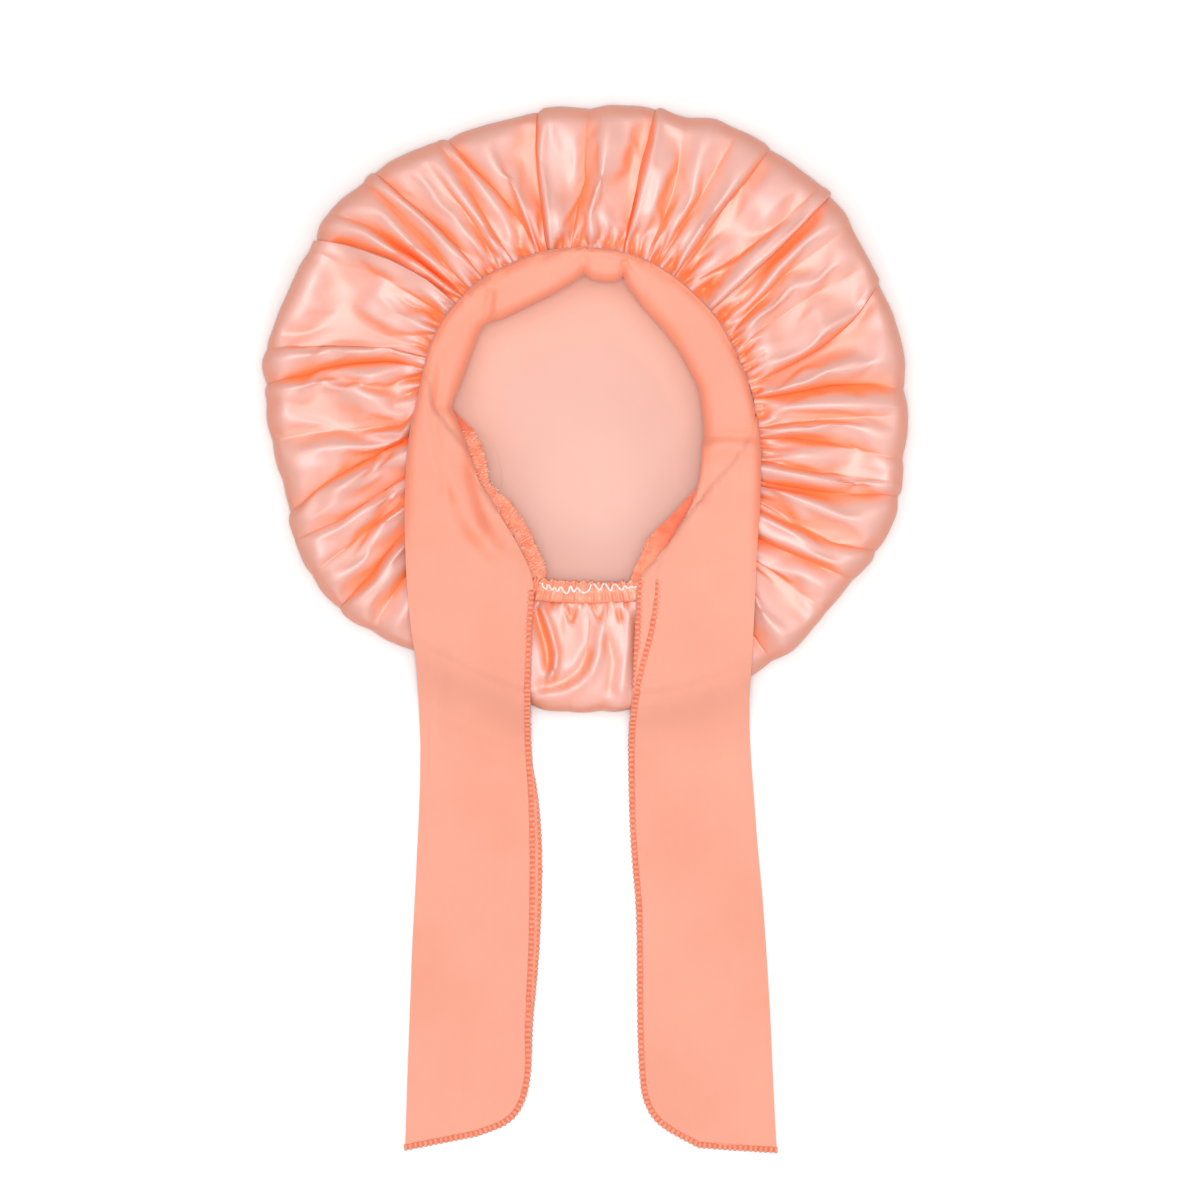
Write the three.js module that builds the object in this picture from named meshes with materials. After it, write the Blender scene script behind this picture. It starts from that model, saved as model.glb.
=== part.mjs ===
// A gathered satin bonnet with a tie band, lying on its crown with the opening up and both ties laid out flat.
// Millimetres, +Z up. The origin is on the surface below the middle of the opening, and the ties run towards -Y.
// Clock angles are degrees clockwise from +Y, seen from above.
import * as THREE from "three";

// Driving sizes
const CLOTH_WALL = 1.5; // satin, drawn thicker than the real cloth
const BAND_THICKNESS = 1.8; // stretch jersey folded double
const SEAM_THICKNESS = 1.6;
const PIECE_GAP = 0.4;
const BRIDGING = 0.6; // laid cloth spans from fold to fold a little above the crown
const BAND_STEP = 13;
const SMALLEST_CURL = 6; // less cloth than this stays flat
const LARGEST_ROLL = 8;
const FLAT_BASE_SHARE = 0.92; // share of the crown's reach that lies flat
const COLUMNS_PER_FOLD = 4;
const GATHER_HEIGHT = 0.9; // the small ribs at the mouth, up and down
const SEAM_WIDTH = 6.5; // overlocked allowance that points into the opening
const SEAM_INSET = 2.6; // from the crown's edge
const SEAM_TURN_LEFT = -104; // where the seam starts to turn down, and over what angle
const SEAM_TURN_RIGHT = 122;
const SEAM_TURN = 12;
const NAPE_ELASTIC_WIDTH = 6.5;
const NAPE_ELASTIC_THICKNESS = 2.4;
const NAPE_CORNER_LEFT = -161.5;
const NAPE_CORNER_RIGHT = 161.5;

// How far the puffed crown reaches from the origin, and how high it stands
const CROWN_OUTLINE = [
  { clock: -170, reach: 155, crest: 22 },
  { clock: -155, reach: 154, crest: 24 },
  { clock: -142, reach: 155, crest: 26 },
  { clock: -131, reach: 164, crest: 28 },
  { clock: -120, reach: 170, crest: 30 },
  { clock: -108, reach: 170, crest: 31.5 },
  { clock: -100, reach: 168, crest: 32 },
  { clock: -90, reach: 174, crest: 32.5 },
  { clock: -78, reach: 180.5, crest: 32.5 },
  { clock: -65, reach: 178, crest: 32.5 },
  { clock: -52, reach: 183, crest: 33 },
  { clock: -40, reach: 181.5, crest: 33 },
  { clock: -28, reach: 175.5, crest: 33 },
  { clock: -18, reach: 173, crest: 33 },
  { clock: -5, reach: 174.5, crest: 33 },
  { clock: 12, reach: 179, crest: 33 },
  { clock: 18, reach: 176, crest: 33 },
  { clock: 27, reach: 181.5, crest: 33 },
  { clock: 46, reach: 183, crest: 33 },
  { clock: 58, reach: 177.5, crest: 32.5 },
  { clock: 80, reach: 175, crest: 32.5 },
  { clock: 96, reach: 172, crest: 32.5 },
  { clock: 105, reach: 174, crest: 32 },
  { clock: 115, reach: 171.5, crest: 31.5 },
  { clock: 122, reach: 165, crest: 30 },
  { clock: 145, reach: 163, crest: 26 },
  { clock: 158, reach: 158, crest: 24 },
  { clock: 170, reach: 155, crest: 22 },
];

// The sewn edge of the opening: wide round the head, drawn in towards the nape
const MOUTH = [
  { clock: -175, reach: 91, height: 18 },
  { clock: -164, reach: 89, height: 19 },
  { clock: -156, reach: 79, height: 21 },
  { clock: -146, reach: 71, height: 22.5 },
  { clock: -129, reach: 66.5, height: 24.5 },
  { clock: -115, reach: 66, height: 26.5 },
  { clock: -101, reach: 65, height: 27.5 },
  { clock: -90, reach: 76, height: 28 },
  { clock: -80, reach: 87, height: 28 },
  { clock: -70, reach: 92, height: 28 },
  { clock: -50, reach: 96, height: 28 },
  { clock: -30, reach: 94, height: 28 },
  { clock: 0, reach: 95, height: 28 },
  { clock: 20, reach: 93, height: 28 },
  { clock: 40, reach: 90, height: 28 },
  { clock: 60, reach: 87.5, height: 28 },
  { clock: 80, reach: 90.5, height: 28 },
  { clock: 92, reach: 90, height: 28 },
  { clock: 103, reach: 82, height: 28 },
  { clock: 113, reach: 74.5, height: 27 },
  { clock: 128, reach: 72.5, height: 25 },
  { clock: 142, reach: 75, height: 23 },
  { clock: 154, reach: 80, height: 21 },
  { clock: 164, reach: 90, height: 19 },
  { clock: 175, reach: 92, height: 18 },
];

// The valleys between the crown's folds: the clock angle at the outline, half way in and at the mouth
const CREASES = [
  { outline: -152, middle: -146, mouth: -138, depth: 3 },
  { outline: -139, middle: -132, mouth: -124, depth: 3 },
  { outline: -125.5, middle: -120, mouth: -112, depth: 6 },
  { outline: -117, middle: -111.5, mouth: -103, depth: 4.5 },
  { outline: -108, middle: -104, mouth: -95, depth: 4.5 },
  { outline: -98, middle: -93, mouth: -85, depth: 6.5 },
  { outline: -82, middle: -76, mouth: -74, depth: 6 },
  { outline: -75, middle: -71, mouth: -67, depth: 6.5 },
  { outline: -55, middle: -49, mouth: -47, depth: 7 },
  { outline: -42, middle: -41, mouth: -41, depth: 4 },
  { outline: -36, middle: -34, mouth: -33.5, depth: 6 },
  { outline: -26, middle: -20, mouth: -16.5, depth: 5 },
  { outline: -9.5, middle: -11, mouth: -12, depth: 6.5 },
  { outline: 0, middle: -0.7, mouth: -4.5, depth: 5 },
  { outline: 12.5, middle: 11.5, mouth: 11.5, depth: 6.5 },
  { outline: 21, middle: 20, mouth: 19.5, depth: 4 },
  { outline: 34, middle: 33, mouth: 32, depth: 5 },
  { outline: 46.5, middle: 47, mouth: 48, depth: 6.5 },
  { outline: 59, middle: 60, mouth: 62, depth: 4.5 },
  { outline: 71.5, middle: 72.5, mouth: 75, depth: 5 },
  { outline: 83, middle: 80, mouth: 82, depth: 6.5 },
  { outline: 94.5, middle: 93.5, mouth: 95, depth: 5 },
  { outline: 103.5, middle: 106, mouth: 107, depth: 6 },
  { outline: 114.5, middle: 115.7, mouth: 115, depth: 6 },
  { outline: 121, middle: 123.5, mouth: 125, depth: 6 },
  { outline: 129, middle: 129.5, mouth: 131, depth: 4 },
  { outline: 139, middle: 137.5, mouth: 137, depth: 5 },
  { outline: 149, middle: 146, mouth: 144, depth: 4 },
  { outline: 159, middle: 156, mouth: 153, depth: 2.5 },
  { outline: 169, middle: 169, mouth: 168, depth: 4 },
  { outline: 181, middle: 180, mouth: 180, depth: 4 },
  { outline: 193, middle: 192, mouth: 193, depth: 4 },
];

// The crown's side view from the mouth out to its widest line and in again under it.
// out is the share of the way from the mouth to the outline, and relief the share of a crease's depth.
const CROWN_TOP = [
  { out: 0, lift: 0.86, relief: 0.1 },
  { out: 0.1, lift: 0.95, relief: 0.45 },
  { out: 0.26, lift: 1.0, relief: 0.85 },
  { out: 0.46, lift: 1.0, relief: 1.0 },
  { out: 0.66, lift: 0.96, relief: 1.0 },
  { out: 0.83, lift: 0.87, relief: 0.85 },
  { out: 0.94, lift: 0.7, relief: 0.6 },
  { out: 1.0, lift: 0.42, relief: 0.4 },
];
const CROWN_UNDER = [
  { reachShare: 0.98, lift: 0.13, relief: 0.2 },
  { reachShare: FLAT_BASE_SHARE, lift: 0, relief: 0 },
  { reachShare: 0.45, lift: 0, relief: 0 },
];

// How cloth laid over the crown comes down to the surface: distance past the outline, share of the crest
const DRAPE = [
  { past: -9, lift: 0.87 },
  { past: -4, lift: 0.8 },
  { past: 0, lift: 0.7 },
  { past: 5, lift: 0.54 },
  { past: 11, lift: 0.36 },
  { past: 18, lift: 0.2 },
  { past: 27, lift: 0.07 },
  { past: 36, lift: 0.015 },
  { past: 44, lift: 0 },
];

// The folded band and its ties, from the left tie's end round the head to the right tie's end.
// outer and inner are the band's two sides seen from above. rise is how far it stands over what it lies on,
// and curl is how much cloth rolls down and back under its inner side.
const BAND_SECTIONS = [
  { outerX: -99.5, outerY: -393.5, innerX: -52, innerY: -384.5, rise: 0, curl: 0 },
  { outerX: -99.5, outerY: -387, innerX: -40, innerY: -378, rise: 0, curl: 0 },
  { outerX: -99, outerY: -374, innerX: -32, innerY: -365, rise: 0, curl: 0 },
  { outerX: -98, outerY: -344, innerX: -28.5, innerY: -342, rise: 0, curl: 0 },
  { outerX: -95.5, outerY: -284, innerX: -26, innerY: -284, rise: 0, curl: 0 },
  { outerX: -92.5, outerY: -224, innerX: -25, innerY: -224, rise: 0, curl: 0 },
  { outerX: -91, outerY: -176, innerX: -28.5, innerY: -176, rise: 0, curl: 0 },
  { outerX: -93, outerY: -150, innerX: -31, innerY: -150, rise: 0, curl: 0 },
  { outerX: -95, outerY: -117, innerX: -30.5, innerY: -116, rise: 0.5, curl: 0 },
  { outerX: -96.5, outerY: -84, innerX: -29.5, innerY: -84, rise: 1, curl: 0 },
  { outerX: -97, outerY: -58, innerX: -43, innerY: -61, rise: 2.5, curl: 0 },
  { outerX: -96.5, outerY: -34, innerX: -54, innerY: -39, rise: 4, curl: 0 },
  { outerX: -95, outerY: -9, innerX: -65, innerY: -13, rise: 5.5, curl: 6 },
  { outerX: -91.5, outerY: 14, innerX: -71, innerY: 11, rise: 7, curl: 16 },
  { outerX: -86.5, outerY: 34, innerX: -65.5, innerY: 29, rise: 7.5, curl: 24 },
  { outerX: -76, outerY: 60, innerX: -56, innerY: 52, rise: 7.5, curl: 26 },
  { outerX: -60, outerY: 76, innerX: -46, innerY: 60, rise: 7.5, curl: 28 },
  { outerX: -36, outerY: 90, innerX: -27, innerY: 68, rise: 7.5, curl: 28 },
  { outerX: -14, outerY: 96, innerX: -8, innerY: 78, rise: 7.5, curl: 30 },
  { outerX: 10, outerY: 96, innerX: 9, innerY: 80, rise: 7.5, curl: 30 },
  { outerX: 30, outerY: 90, innerX: 24, innerY: 76, rise: 7.5, curl: 30 },
  { outerX: 50, outerY: 77, innerX: 37, innerY: 60, rise: 7.5, curl: 28 },
  { outerX: 69, outerY: 57, innerX: 50, innerY: 43, rise: 7.5, curl: 28 },
  { outerX: 82, outerY: 31, innerX: 60, innerY: 23, rise: 7.5, curl: 26 },
  { outerX: 90, outerY: 8, innerX: 64, innerY: 4, rise: 7.5, curl: 22 },
  { outerX: 93, outerY: -10, innerX: 64, innerY: -14, rise: 6.5, curl: 14 },
  { outerX: 92.5, outerY: -28, innerX: 60, innerY: -33, rise: 5, curl: 0 },
  { outerX: 91.5, outerY: -50, innerX: 49, innerY: -55, rise: 3, curl: 0 },
  { outerX: 90.5, outerY: -70, innerX: 38, innerY: -73, rise: 1.5, curl: 0 },
  { outerX: 90, outerY: -90, innerX: 29, innerY: -90, rise: 1, curl: 0 },
  { outerX: 89, outerY: -117, innerX: 26.5, innerY: -117, rise: 0.5, curl: 0 },
  { outerX: 88, outerY: -150, innerX: 24.5, innerY: -150, rise: 0, curl: 0 },
  { outerX: 88.5, outerY: -176, innerX: 23, innerY: -176, rise: 0, curl: 0 },
  { outerX: 92, outerY: -224, innerX: 24.5, innerY: -224, rise: 0, curl: 0 },
  { outerX: 97, outerY: -284, innerX: 27.5, innerY: -284, rise: 0, curl: 0 },
  { outerX: 101, outerY: -344, innerX: 28, innerY: -342, rise: 0, curl: 0 },
  { outerX: 101.5, outerY: -374, innerX: 31, innerY: -364, rise: 0, curl: 0 },
  { outerX: 102, outerY: -387, innerX: 39, innerY: -379, rise: 0, curl: 0 },
  { outerX: 102, outerY: -394.5, innerX: 58, innerY: -391, rise: 0, curl: 0 },
];

// Interpolation

function cubic(before, from, to, after, share) {
  const slopeFrom = (to - before) / 2;
  const slopeTo = (after - from) / 2;
  const a = 2 * from - 2 * to + slopeFrom + slopeTo;
  const b = -3 * from + 3 * to - 2 * slopeFrom - slopeTo;
  return ((a * share + b) * share + slopeFrom) * share + from;
}

// A column of a table that runs round the clock
function around(table, column, clock) {
  const count = table.length;
  const first = table[0].clock;
  const turned = first + ((((clock - first) % 360) + 360) % 360);
  let row = count - 1;
  while (table[row].clock > turned) row -= 1;
  const next = table[(row + 1) % count];
  const span = (next.clock - table[row].clock + 360) % 360;
  const share = (turned - table[row].clock) / span;
  const before = table[(row + count - 1) % count][column];
  const after = table[(row + 2) % count][column];
  return cubic(before, table[row][column], next[column], after, share);
}

// A column of a table whose rows are ordered by another column
function along(table, key, column, place) {
  let row = 0;
  while (row < table.length - 2 && table[row + 1][key] < place) row += 1;
  const share = THREE.MathUtils.clamp(
    (place - table[row][key]) / (table[row + 1][key] - table[row][key]),
    0,
    1,
  );
  return THREE.MathUtils.lerp(table[row][column], table[row + 1][column], share);
}

function polar(clock, reach, height) {
  const angle = THREE.MathUtils.degToRad(clock);
  return new THREE.Vector3(reach * Math.sin(angle), reach * Math.cos(angle), height);
}

// Closed thin solids from two grids of points, the upper side and the lower side of a cloth

function sheetSolid(upper, lower, { wrap = false, centre = null } = {}) {
  const rows = upper.length;
  const columns = upper[0].length;
  const points = [...upper.flat(), ...lower.flat()];
  const top = (row, column) => row * columns + (column % columns);
  const under = (row, column) => rows * columns + top(row, column);
  const faces = [];
  const quad = (a, b, c, d) => faces.push(a, c, b, a, d, c);
  const lastColumn = wrap ? columns : columns - 1;
  for (let row = 0; row < rows - 1; row += 1) {
    for (let column = 0; column < lastColumn; column += 1) {
      quad(top(row, column), top(row + 1, column), top(row + 1, column + 1), top(row, column + 1));
      quad(under(row, column), under(row, column + 1), under(row + 1, column + 1), under(row + 1, column));
    }
  }
  for (let column = 0; column < lastColumn; column += 1) {
    quad(top(0, column), top(0, column + 1), under(0, column + 1), under(0, column));
    const last = rows - 1;
    if (centre) {
      faces.push(top(last, column), top(last, column + 1), points.length);
      faces.push(under(last, column), points.length + 1, under(last, column + 1));
    } else {
      quad(top(last, column), under(last, column), under(last, column + 1), top(last, column + 1));
    }
  }
  if (centre) points.push(...centre);
  if (!wrap) {
    const last = columns - 1;
    for (let row = 0; row < rows - 1; row += 1) {
      quad(top(row, 0), under(row, 0), under(row + 1, 0), top(row + 1, 0));
      quad(top(row, last), top(row + 1, last), under(row + 1, last), under(row, last));
    }
  }
  const geometry = new THREE.BufferGeometry().setFromPoints(points);
  geometry.setIndex(faces);
  geometry.computeVertexNormals();
  return geometry;
}

// The crown

// Clock angle of a crease at a share of the way from the mouth to the outline
function creaseClock(crease, out) {
  const nearMouth = out < 0.5;
  const from = nearMouth ? crease.mouth : crease.middle;
  const to = nearMouth ? crease.middle : crease.outline;
  return THREE.MathUtils.lerp(from, to, THREE.MathUtils.clamp(nearMouth ? out * 2 : out * 2 - 1, 0, 1));
}

// Every column of the crown's grid: where it lies between two creases, and how deep it lies there
function crownColumns() {
  const columns = [];
  CREASES.forEach((crease, index) => {
    const wraps = index === CREASES.length - 1;
    const next = wraps ? CREASES[0] : CREASES[index + 1];
    for (let step = 0; step < COLUMNS_PER_FOLD; step += 1) {
      const across = step / COLUMNS_PER_FOLD;
      const fromLeft = Math.max(0, 1 - 2 * across) ** 2;
      const fromRight = Math.max(0, 2 * across - 1) ** 2;
      columns.push({
        depth: crease.depth * fromLeft + next.depth * fromRight,
        rib: step % 2 ? GATHER_HEIGHT : -GATHER_HEIGHT,
        clockAt: (out) => {
          const from = creaseClock(crease, out);
          const to = creaseClock(next, out) + (wraps ? 360 : 0);
          return THREE.MathUtils.lerp(from, to, across);
        },
      });
    }
  });
  return columns;
}

// One column of the crown, from the mouth to the flat base: points on the cloth's middle and its outward direction
function crownColumn(column) {
  const sections = CROWN_TOP.map((row) => {
    const clock = column.clockAt(row.out);
    const crest = around(CROWN_OUTLINE, "crest", clock);
    const mouth = around(MOUTH, "reach", clock);
    const reach = THREE.MathUtils.lerp(mouth, around(CROWN_OUTLINE, "reach", clock), row.out);
    const atMouth = Math.max(0, 1 - row.out / 0.2);
    return {
      clock,
      reach,
      height: THREE.MathUtils.lerp(crest * row.lift, around(MOUTH, "height", clock), atMouth),
      sink: column.depth * row.relief - column.rib * atMouth,
    };
  });
  CROWN_UNDER.forEach((row) => {
    const clock = column.clockAt(1);
    sections.push({
      clock,
      reach: around(CROWN_OUTLINE, "reach", clock) * row.reachShare,
      height: around(CROWN_OUTLINE, "crest", clock) * row.lift + CLOTH_WALL / 2,
      sink: column.depth * row.relief,
    });
  });
  const isFlat = (index) => index >= sections.length - 2;
  return sections.map((section, index) => {
    const before = sections[Math.max(0, index - 1)];
    const after = sections[Math.min(sections.length - 1, index + 1)];
    const run = new THREE.Vector2(after.reach - before.reach, after.height - before.height).normalize();
    const outward = isFlat(index) ? new THREE.Vector2(0, -1) : new THREE.Vector2(-run.y, run.x);
    return { ...section, outward };
  });
}

function crownSide(sections, side) {
  return sections.map(({ clock, reach, height, sink, outward }) => {
    const move = side * (CLOTH_WALL / 2) - sink;
    return polar(clock, reach + outward.x * move, height + outward.y * move);
  });
}

// Grid rows run from the mouth to the middle and columns run clockwise
function transpose(columns) {
  return columns[0].map((_, row) => columns.map((column) => column[row]));
}

function crownGeometry() {
  const columns = crownColumns().map(crownColumn);
  const outside = transpose(columns.map((sections) => crownSide(sections, 1)));
  const inside = transpose(columns.map((sections) => crownSide(sections, -1)));
  const centre = [new THREE.Vector3(0, 0, 0), new THREE.Vector3(0, 0, CLOTH_WALL)];
  return sheetSolid(outside, inside, { wrap: true, centre });
}

// The surface that the band's middle lies on: level across the mouth, over the crown, and down to the table

function supportHeight(x, y) {
  const reach = Math.hypot(x, y);
  const clock = THREE.MathUtils.radToDeg(Math.atan2(x, y));
  const mouth = around(MOUTH, "reach", clock);
  const outline = around(CROWN_OUTLINE, "reach", clock);
  const crest = around(CROWN_OUTLINE, "crest", clock);
  const clearance = CLOTH_WALL / 2 + PIECE_GAP + BAND_THICKNESS / 2;
  const atMouth = around(MOUTH, "height", clock) + clearance + GATHER_HEIGHT;
  if (reach <= mouth) return atMouth;
  const past = reach - outline;
  if (past > DRAPE[0].past) return BAND_THICKNESS / 2 + crest * along(DRAPE, "past", "lift", past);
  const out = (reach - mouth) / (outline - mouth);
  const onCrown = crest * along(CROWN_TOP, "out", "lift", out) + clearance + BRIDGING;
  return THREE.MathUtils.lerp(onCrown, Math.max(atMouth, onCrown), Math.max(0, 1 - out / 0.2));
}

// The band and its ties

// A section of the band as offsets from its outer side: inward along the section, and up from the support
function bandSection({ rise, curl, wide }) {
  if (curl < SMALLEST_CURL) {
    return [
      { inward: 0, up: 0 },
      { inward: wide * 0.05, up: rise * 0.5 },
      { inward: wide * 0.16, up: rise * 0.9 },
      { inward: wide * 0.36, up: rise },
      { inward: wide * 0.58, up: rise * 0.9 },
      { inward: wide * 0.78, up: rise * 0.7 },
      { inward: wide * 0.92, up: rise * 0.4 },
      { inward: wide, up: rise * 0.2 },
    ];
  }
  const roll = Math.min(LARGEST_ROLL, curl / 3);
  const flat = wide - roll;
  const shoulder = rise * 0.9;
  return [
    { inward: 0, up: 0 },
    { inward: rise * 0.1, up: rise * 0.5 },
    { inward: rise * 0.45, up: rise * 0.9 },
    { inward: Math.max(flat * 0.55, rise * 0.7), up: rise },
    { inward: Math.max(flat, rise * 0.95), up: shoulder },
    { inward: wide, up: shoulder - roll },
    { inward: flat, up: shoulder - 2 * roll },
    { inward: Math.min(flat - 1, Math.max(flat - curl + Math.PI * roll, rise)), up: shoulder - 2 * roll },
  ];
}

// The table's rows with more between them, no further apart than the given step
function denseSections(table, step) {
  const dense = [];
  for (let index = 0; index < table.length - 1; index += 1) {
    const rows = [index - 1, index, index + 1, index + 2].map(
      (row) => table[THREE.MathUtils.clamp(row, 0, table.length - 1)],
    );
    const run = Math.max(
      Math.hypot(rows[2].outerX - rows[1].outerX, rows[2].outerY - rows[1].outerY),
      Math.hypot(rows[2].innerX - rows[1].innerX, rows[2].innerY - rows[1].innerY),
    );
    const parts = Math.ceil(run / step);
    for (let part = 0; part < parts; part += 1) {
      const between = (column) => cubic(...rows.map((row) => row[column]), part / parts);
      dense.push({
        outer: new THREE.Vector2(between("outerX"), between("outerY")),
        inner: new THREE.Vector2(between("innerX"), between("innerY")),
        rise: Math.max(0, between("rise")),
        curl: between("curl"),
      });
    }
  }
  const last = table[table.length - 1];
  dense.push({
    outer: new THREE.Vector2(last.outerX, last.outerY),
    inner: new THREE.Vector2(last.innerX, last.innerY),
    rise: last.rise,
    curl: last.curl,
  });
  return dense;
}

// Both sides of a cloth whose middle is a grid of points
function thicken(grid, thickness) {
  const at = (row, column) =>
    grid[THREE.MathUtils.clamp(row, 0, grid.length - 1)][THREE.MathUtils.clamp(column, 0, grid[0].length - 1)];
  const side = (offset) =>
    grid.map((points, row) =>
      points.map((point, column) => {
        const lengthwise = at(row + 1, column).clone().sub(at(row - 1, column));
        const across = at(row, column + 1).clone().sub(at(row, column - 1));
        return across.cross(lengthwise).normalize().multiplyScalar(offset).add(point);
      }),
    );
  return { upper: side(thickness / 2), lower: side(-thickness / 2) };
}

function bandGeometry() {
  const grid = denseSections(BAND_SECTIONS, BAND_STEP).map(({ outer, inner, rise, curl }) => {
    const wide = inner.distanceTo(outer);
    return bandSection({ rise, curl, wide }).map(({ inward, up }) => {
      const place = outer.clone().lerp(inner, inward / wide);
      return new THREE.Vector3(place.x, place.y, supportHeight(place.x, place.y) + up);
    });
  });
  const { upper, lower } = thicken(grid, BAND_THICKNESS);
  return sheetSolid(upper, lower);
}

// Strips that follow the mouth: the overlocked seam under the band, and the elastic across the nape

function mouthStrip({ from, to, step, width, thickness, rib, hangAt }) {
  const steps = Math.round((to - from) / step);
  const grid = Array.from({ length: steps + 1 }, (_, index) => {
    const clock = from + ((to - from) * index) / steps;
    const reach = around(MOUTH, "reach", clock) - SEAM_INSET;
    const height = around(MOUTH, "height", clock) + (index % 2 ? rib : -rib);
    const hang = THREE.MathUtils.degToRad(hangAt(clock));
    return [
      polar(clock, reach, height),
      polar(clock, reach - width * Math.cos(hang), height - width * Math.sin(hang)),
    ];
  });
  const { upper, lower } = thicken(grid, thickness);
  return sheetSolid(upper, lower);
}

// The band seam hangs straight down where the band rolls over it, and lies level towards the nape
function seamHang(clock) {
  const { clamp, lerp } = THREE.MathUtils;
  const leftTurn = clamp((clock - SEAM_TURN_LEFT) / SEAM_TURN, 0, 1);
  const rightTurn = clamp((SEAM_TURN_RIGHT - clock) / SEAM_TURN, 0, 1);
  return lerp(0, 90, Math.min(leftTurn, rightTurn));
}

// The assembly

function material(colour, roughness, metalness = 0) {
  return new THREE.MeshStandardMaterial({ color: colour, roughness, metalness });
}

const satin = material(0xf4bba6, 0.35);
const jersey = material(0xffae96, 0.9);
const overlockedSeam = material(0xff8a62, 0.85);
const napeElasticSatin = material(0xffb79f, 0.5);

const bonnet = new THREE.Group();

function addPiece(name, geometry, finish) {
  const mesh = new THREE.Mesh(geometry, finish);
  mesh.name = name;
  bonnet.add(mesh);
}

addPiece("crown", crownGeometry(), satin);
addPiece("tie_band", bandGeometry(), jersey);
addPiece(
  "band_seam",
  mouthStrip({
    from: NAPE_CORNER_LEFT,
    to: NAPE_CORNER_RIGHT,
    step: 5,
    width: SEAM_WIDTH,
    thickness: SEAM_THICKNESS,
    rib: 0,
    hangAt: seamHang,
  }),
  overlockedSeam,
);
addPiece(
  "nape_elastic",
  mouthStrip({
    from: NAPE_CORNER_RIGHT + 1,
    to: NAPE_CORNER_LEFT - 1 + 360,
    step: 2,
    width: NAPE_ELASTIC_WIDTH,
    thickness: NAPE_ELASTIC_THICKNESS,
    rib: 0.5,
    hangAt: () => 0,
  }),
  napeElasticSatin,
);

export default bonnet;
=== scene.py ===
"""A gathered satin bonnet with a jersey tie band, lying on its crown and seen from straight above."""

import math

import bmesh
import bpy
import numpy as np
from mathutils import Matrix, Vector


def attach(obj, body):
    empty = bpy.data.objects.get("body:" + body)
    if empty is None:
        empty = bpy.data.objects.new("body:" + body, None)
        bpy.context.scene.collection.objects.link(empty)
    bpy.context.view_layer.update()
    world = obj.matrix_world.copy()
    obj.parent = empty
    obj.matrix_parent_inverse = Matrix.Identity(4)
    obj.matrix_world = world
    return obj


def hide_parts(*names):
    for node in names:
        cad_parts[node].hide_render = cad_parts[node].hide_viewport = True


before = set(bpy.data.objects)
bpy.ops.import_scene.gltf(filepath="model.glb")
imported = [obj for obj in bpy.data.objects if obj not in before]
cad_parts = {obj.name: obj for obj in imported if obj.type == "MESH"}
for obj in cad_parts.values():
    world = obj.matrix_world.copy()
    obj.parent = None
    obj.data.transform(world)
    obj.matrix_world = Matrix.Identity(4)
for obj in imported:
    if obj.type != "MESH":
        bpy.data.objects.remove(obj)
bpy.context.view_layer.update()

# The crown. One circle of peach satin, shiny side out, gathered three to one onto the edge of the
# opening. It lies on its middle as a low puffed ring, with its dull side showing through the opening.

MM = 0.001
POINT = 0.545 * MM  # the charts below are in points of this size
CROWN_COLUMNS = 840
SATIN_THICKNESS = 0.45 * MM

# Clock angle from the front, clockwise from above, and how far the crown reaches there
CROWN_OUTLINE = (
    (-172, 285), (-160, 283), (-150, 282), (-142, 285), (-135, 294), (-130, 303), (-125, 311),
    (-118, 312), (-110, 313), (-105, 311), (-100, 308), (-95, 314), (-90, 319), (-85, 321),
    (-80, 330), (-75, 331), (-70, 328), (-65, 327), (-60, 328), (-57, 327), (-54, 334),
    (-50, 336), (-45, 332), (-40, 333), (-35, 327), (-30, 323), (-25, 322), (-20, 317),
    (-15, 318), (-10, 321), (-5, 320), (0, 319), (5, 322), (12, 328), (15, 324), (18, 323),
    (22, 331), (27, 333), (35, 333), (42, 333), (46, 336), (50, 333), (55, 327), (60, 325),
    (70, 324), (80, 321), (90, 319), (95, 315), (100, 317), (105, 319), (112, 317), (118, 307),
    (124, 302), (132, 301), (140, 300), (148, 297), (158, 290), (168, 285), (178, 284),
)  # fmt: skip

# How high the ring stands above the table
CROWN_CREST = (
    (-170, 22), (-155, 24), (-142, 26), (-131, 28), (-120, 30), (-108, 31.5), (-90, 32.5),
    (-50, 33), (46, 33), (80, 32.5), (105, 32), (122, 30), (145, 26), (158, 24), (170, 22),
)  # fmt: skip

# The sewn edge of the opening
MOUTH = (
    (-175, 168), (-164, 163), (-156, 145), (-146, 130), (-133, 123), (-118, 121), (-104, 119),
    (-92, 136), (-82, 157), (-70, 169), (-50, 176), (-30, 172), (0, 174), (20, 171), (40, 165),
    (60, 160), (80, 166), (92, 165), (103, 150), (113, 137), (128, 133), (142, 138), (154, 147),
    (164, 165), (175, 169),
)  # fmt: skip

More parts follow.
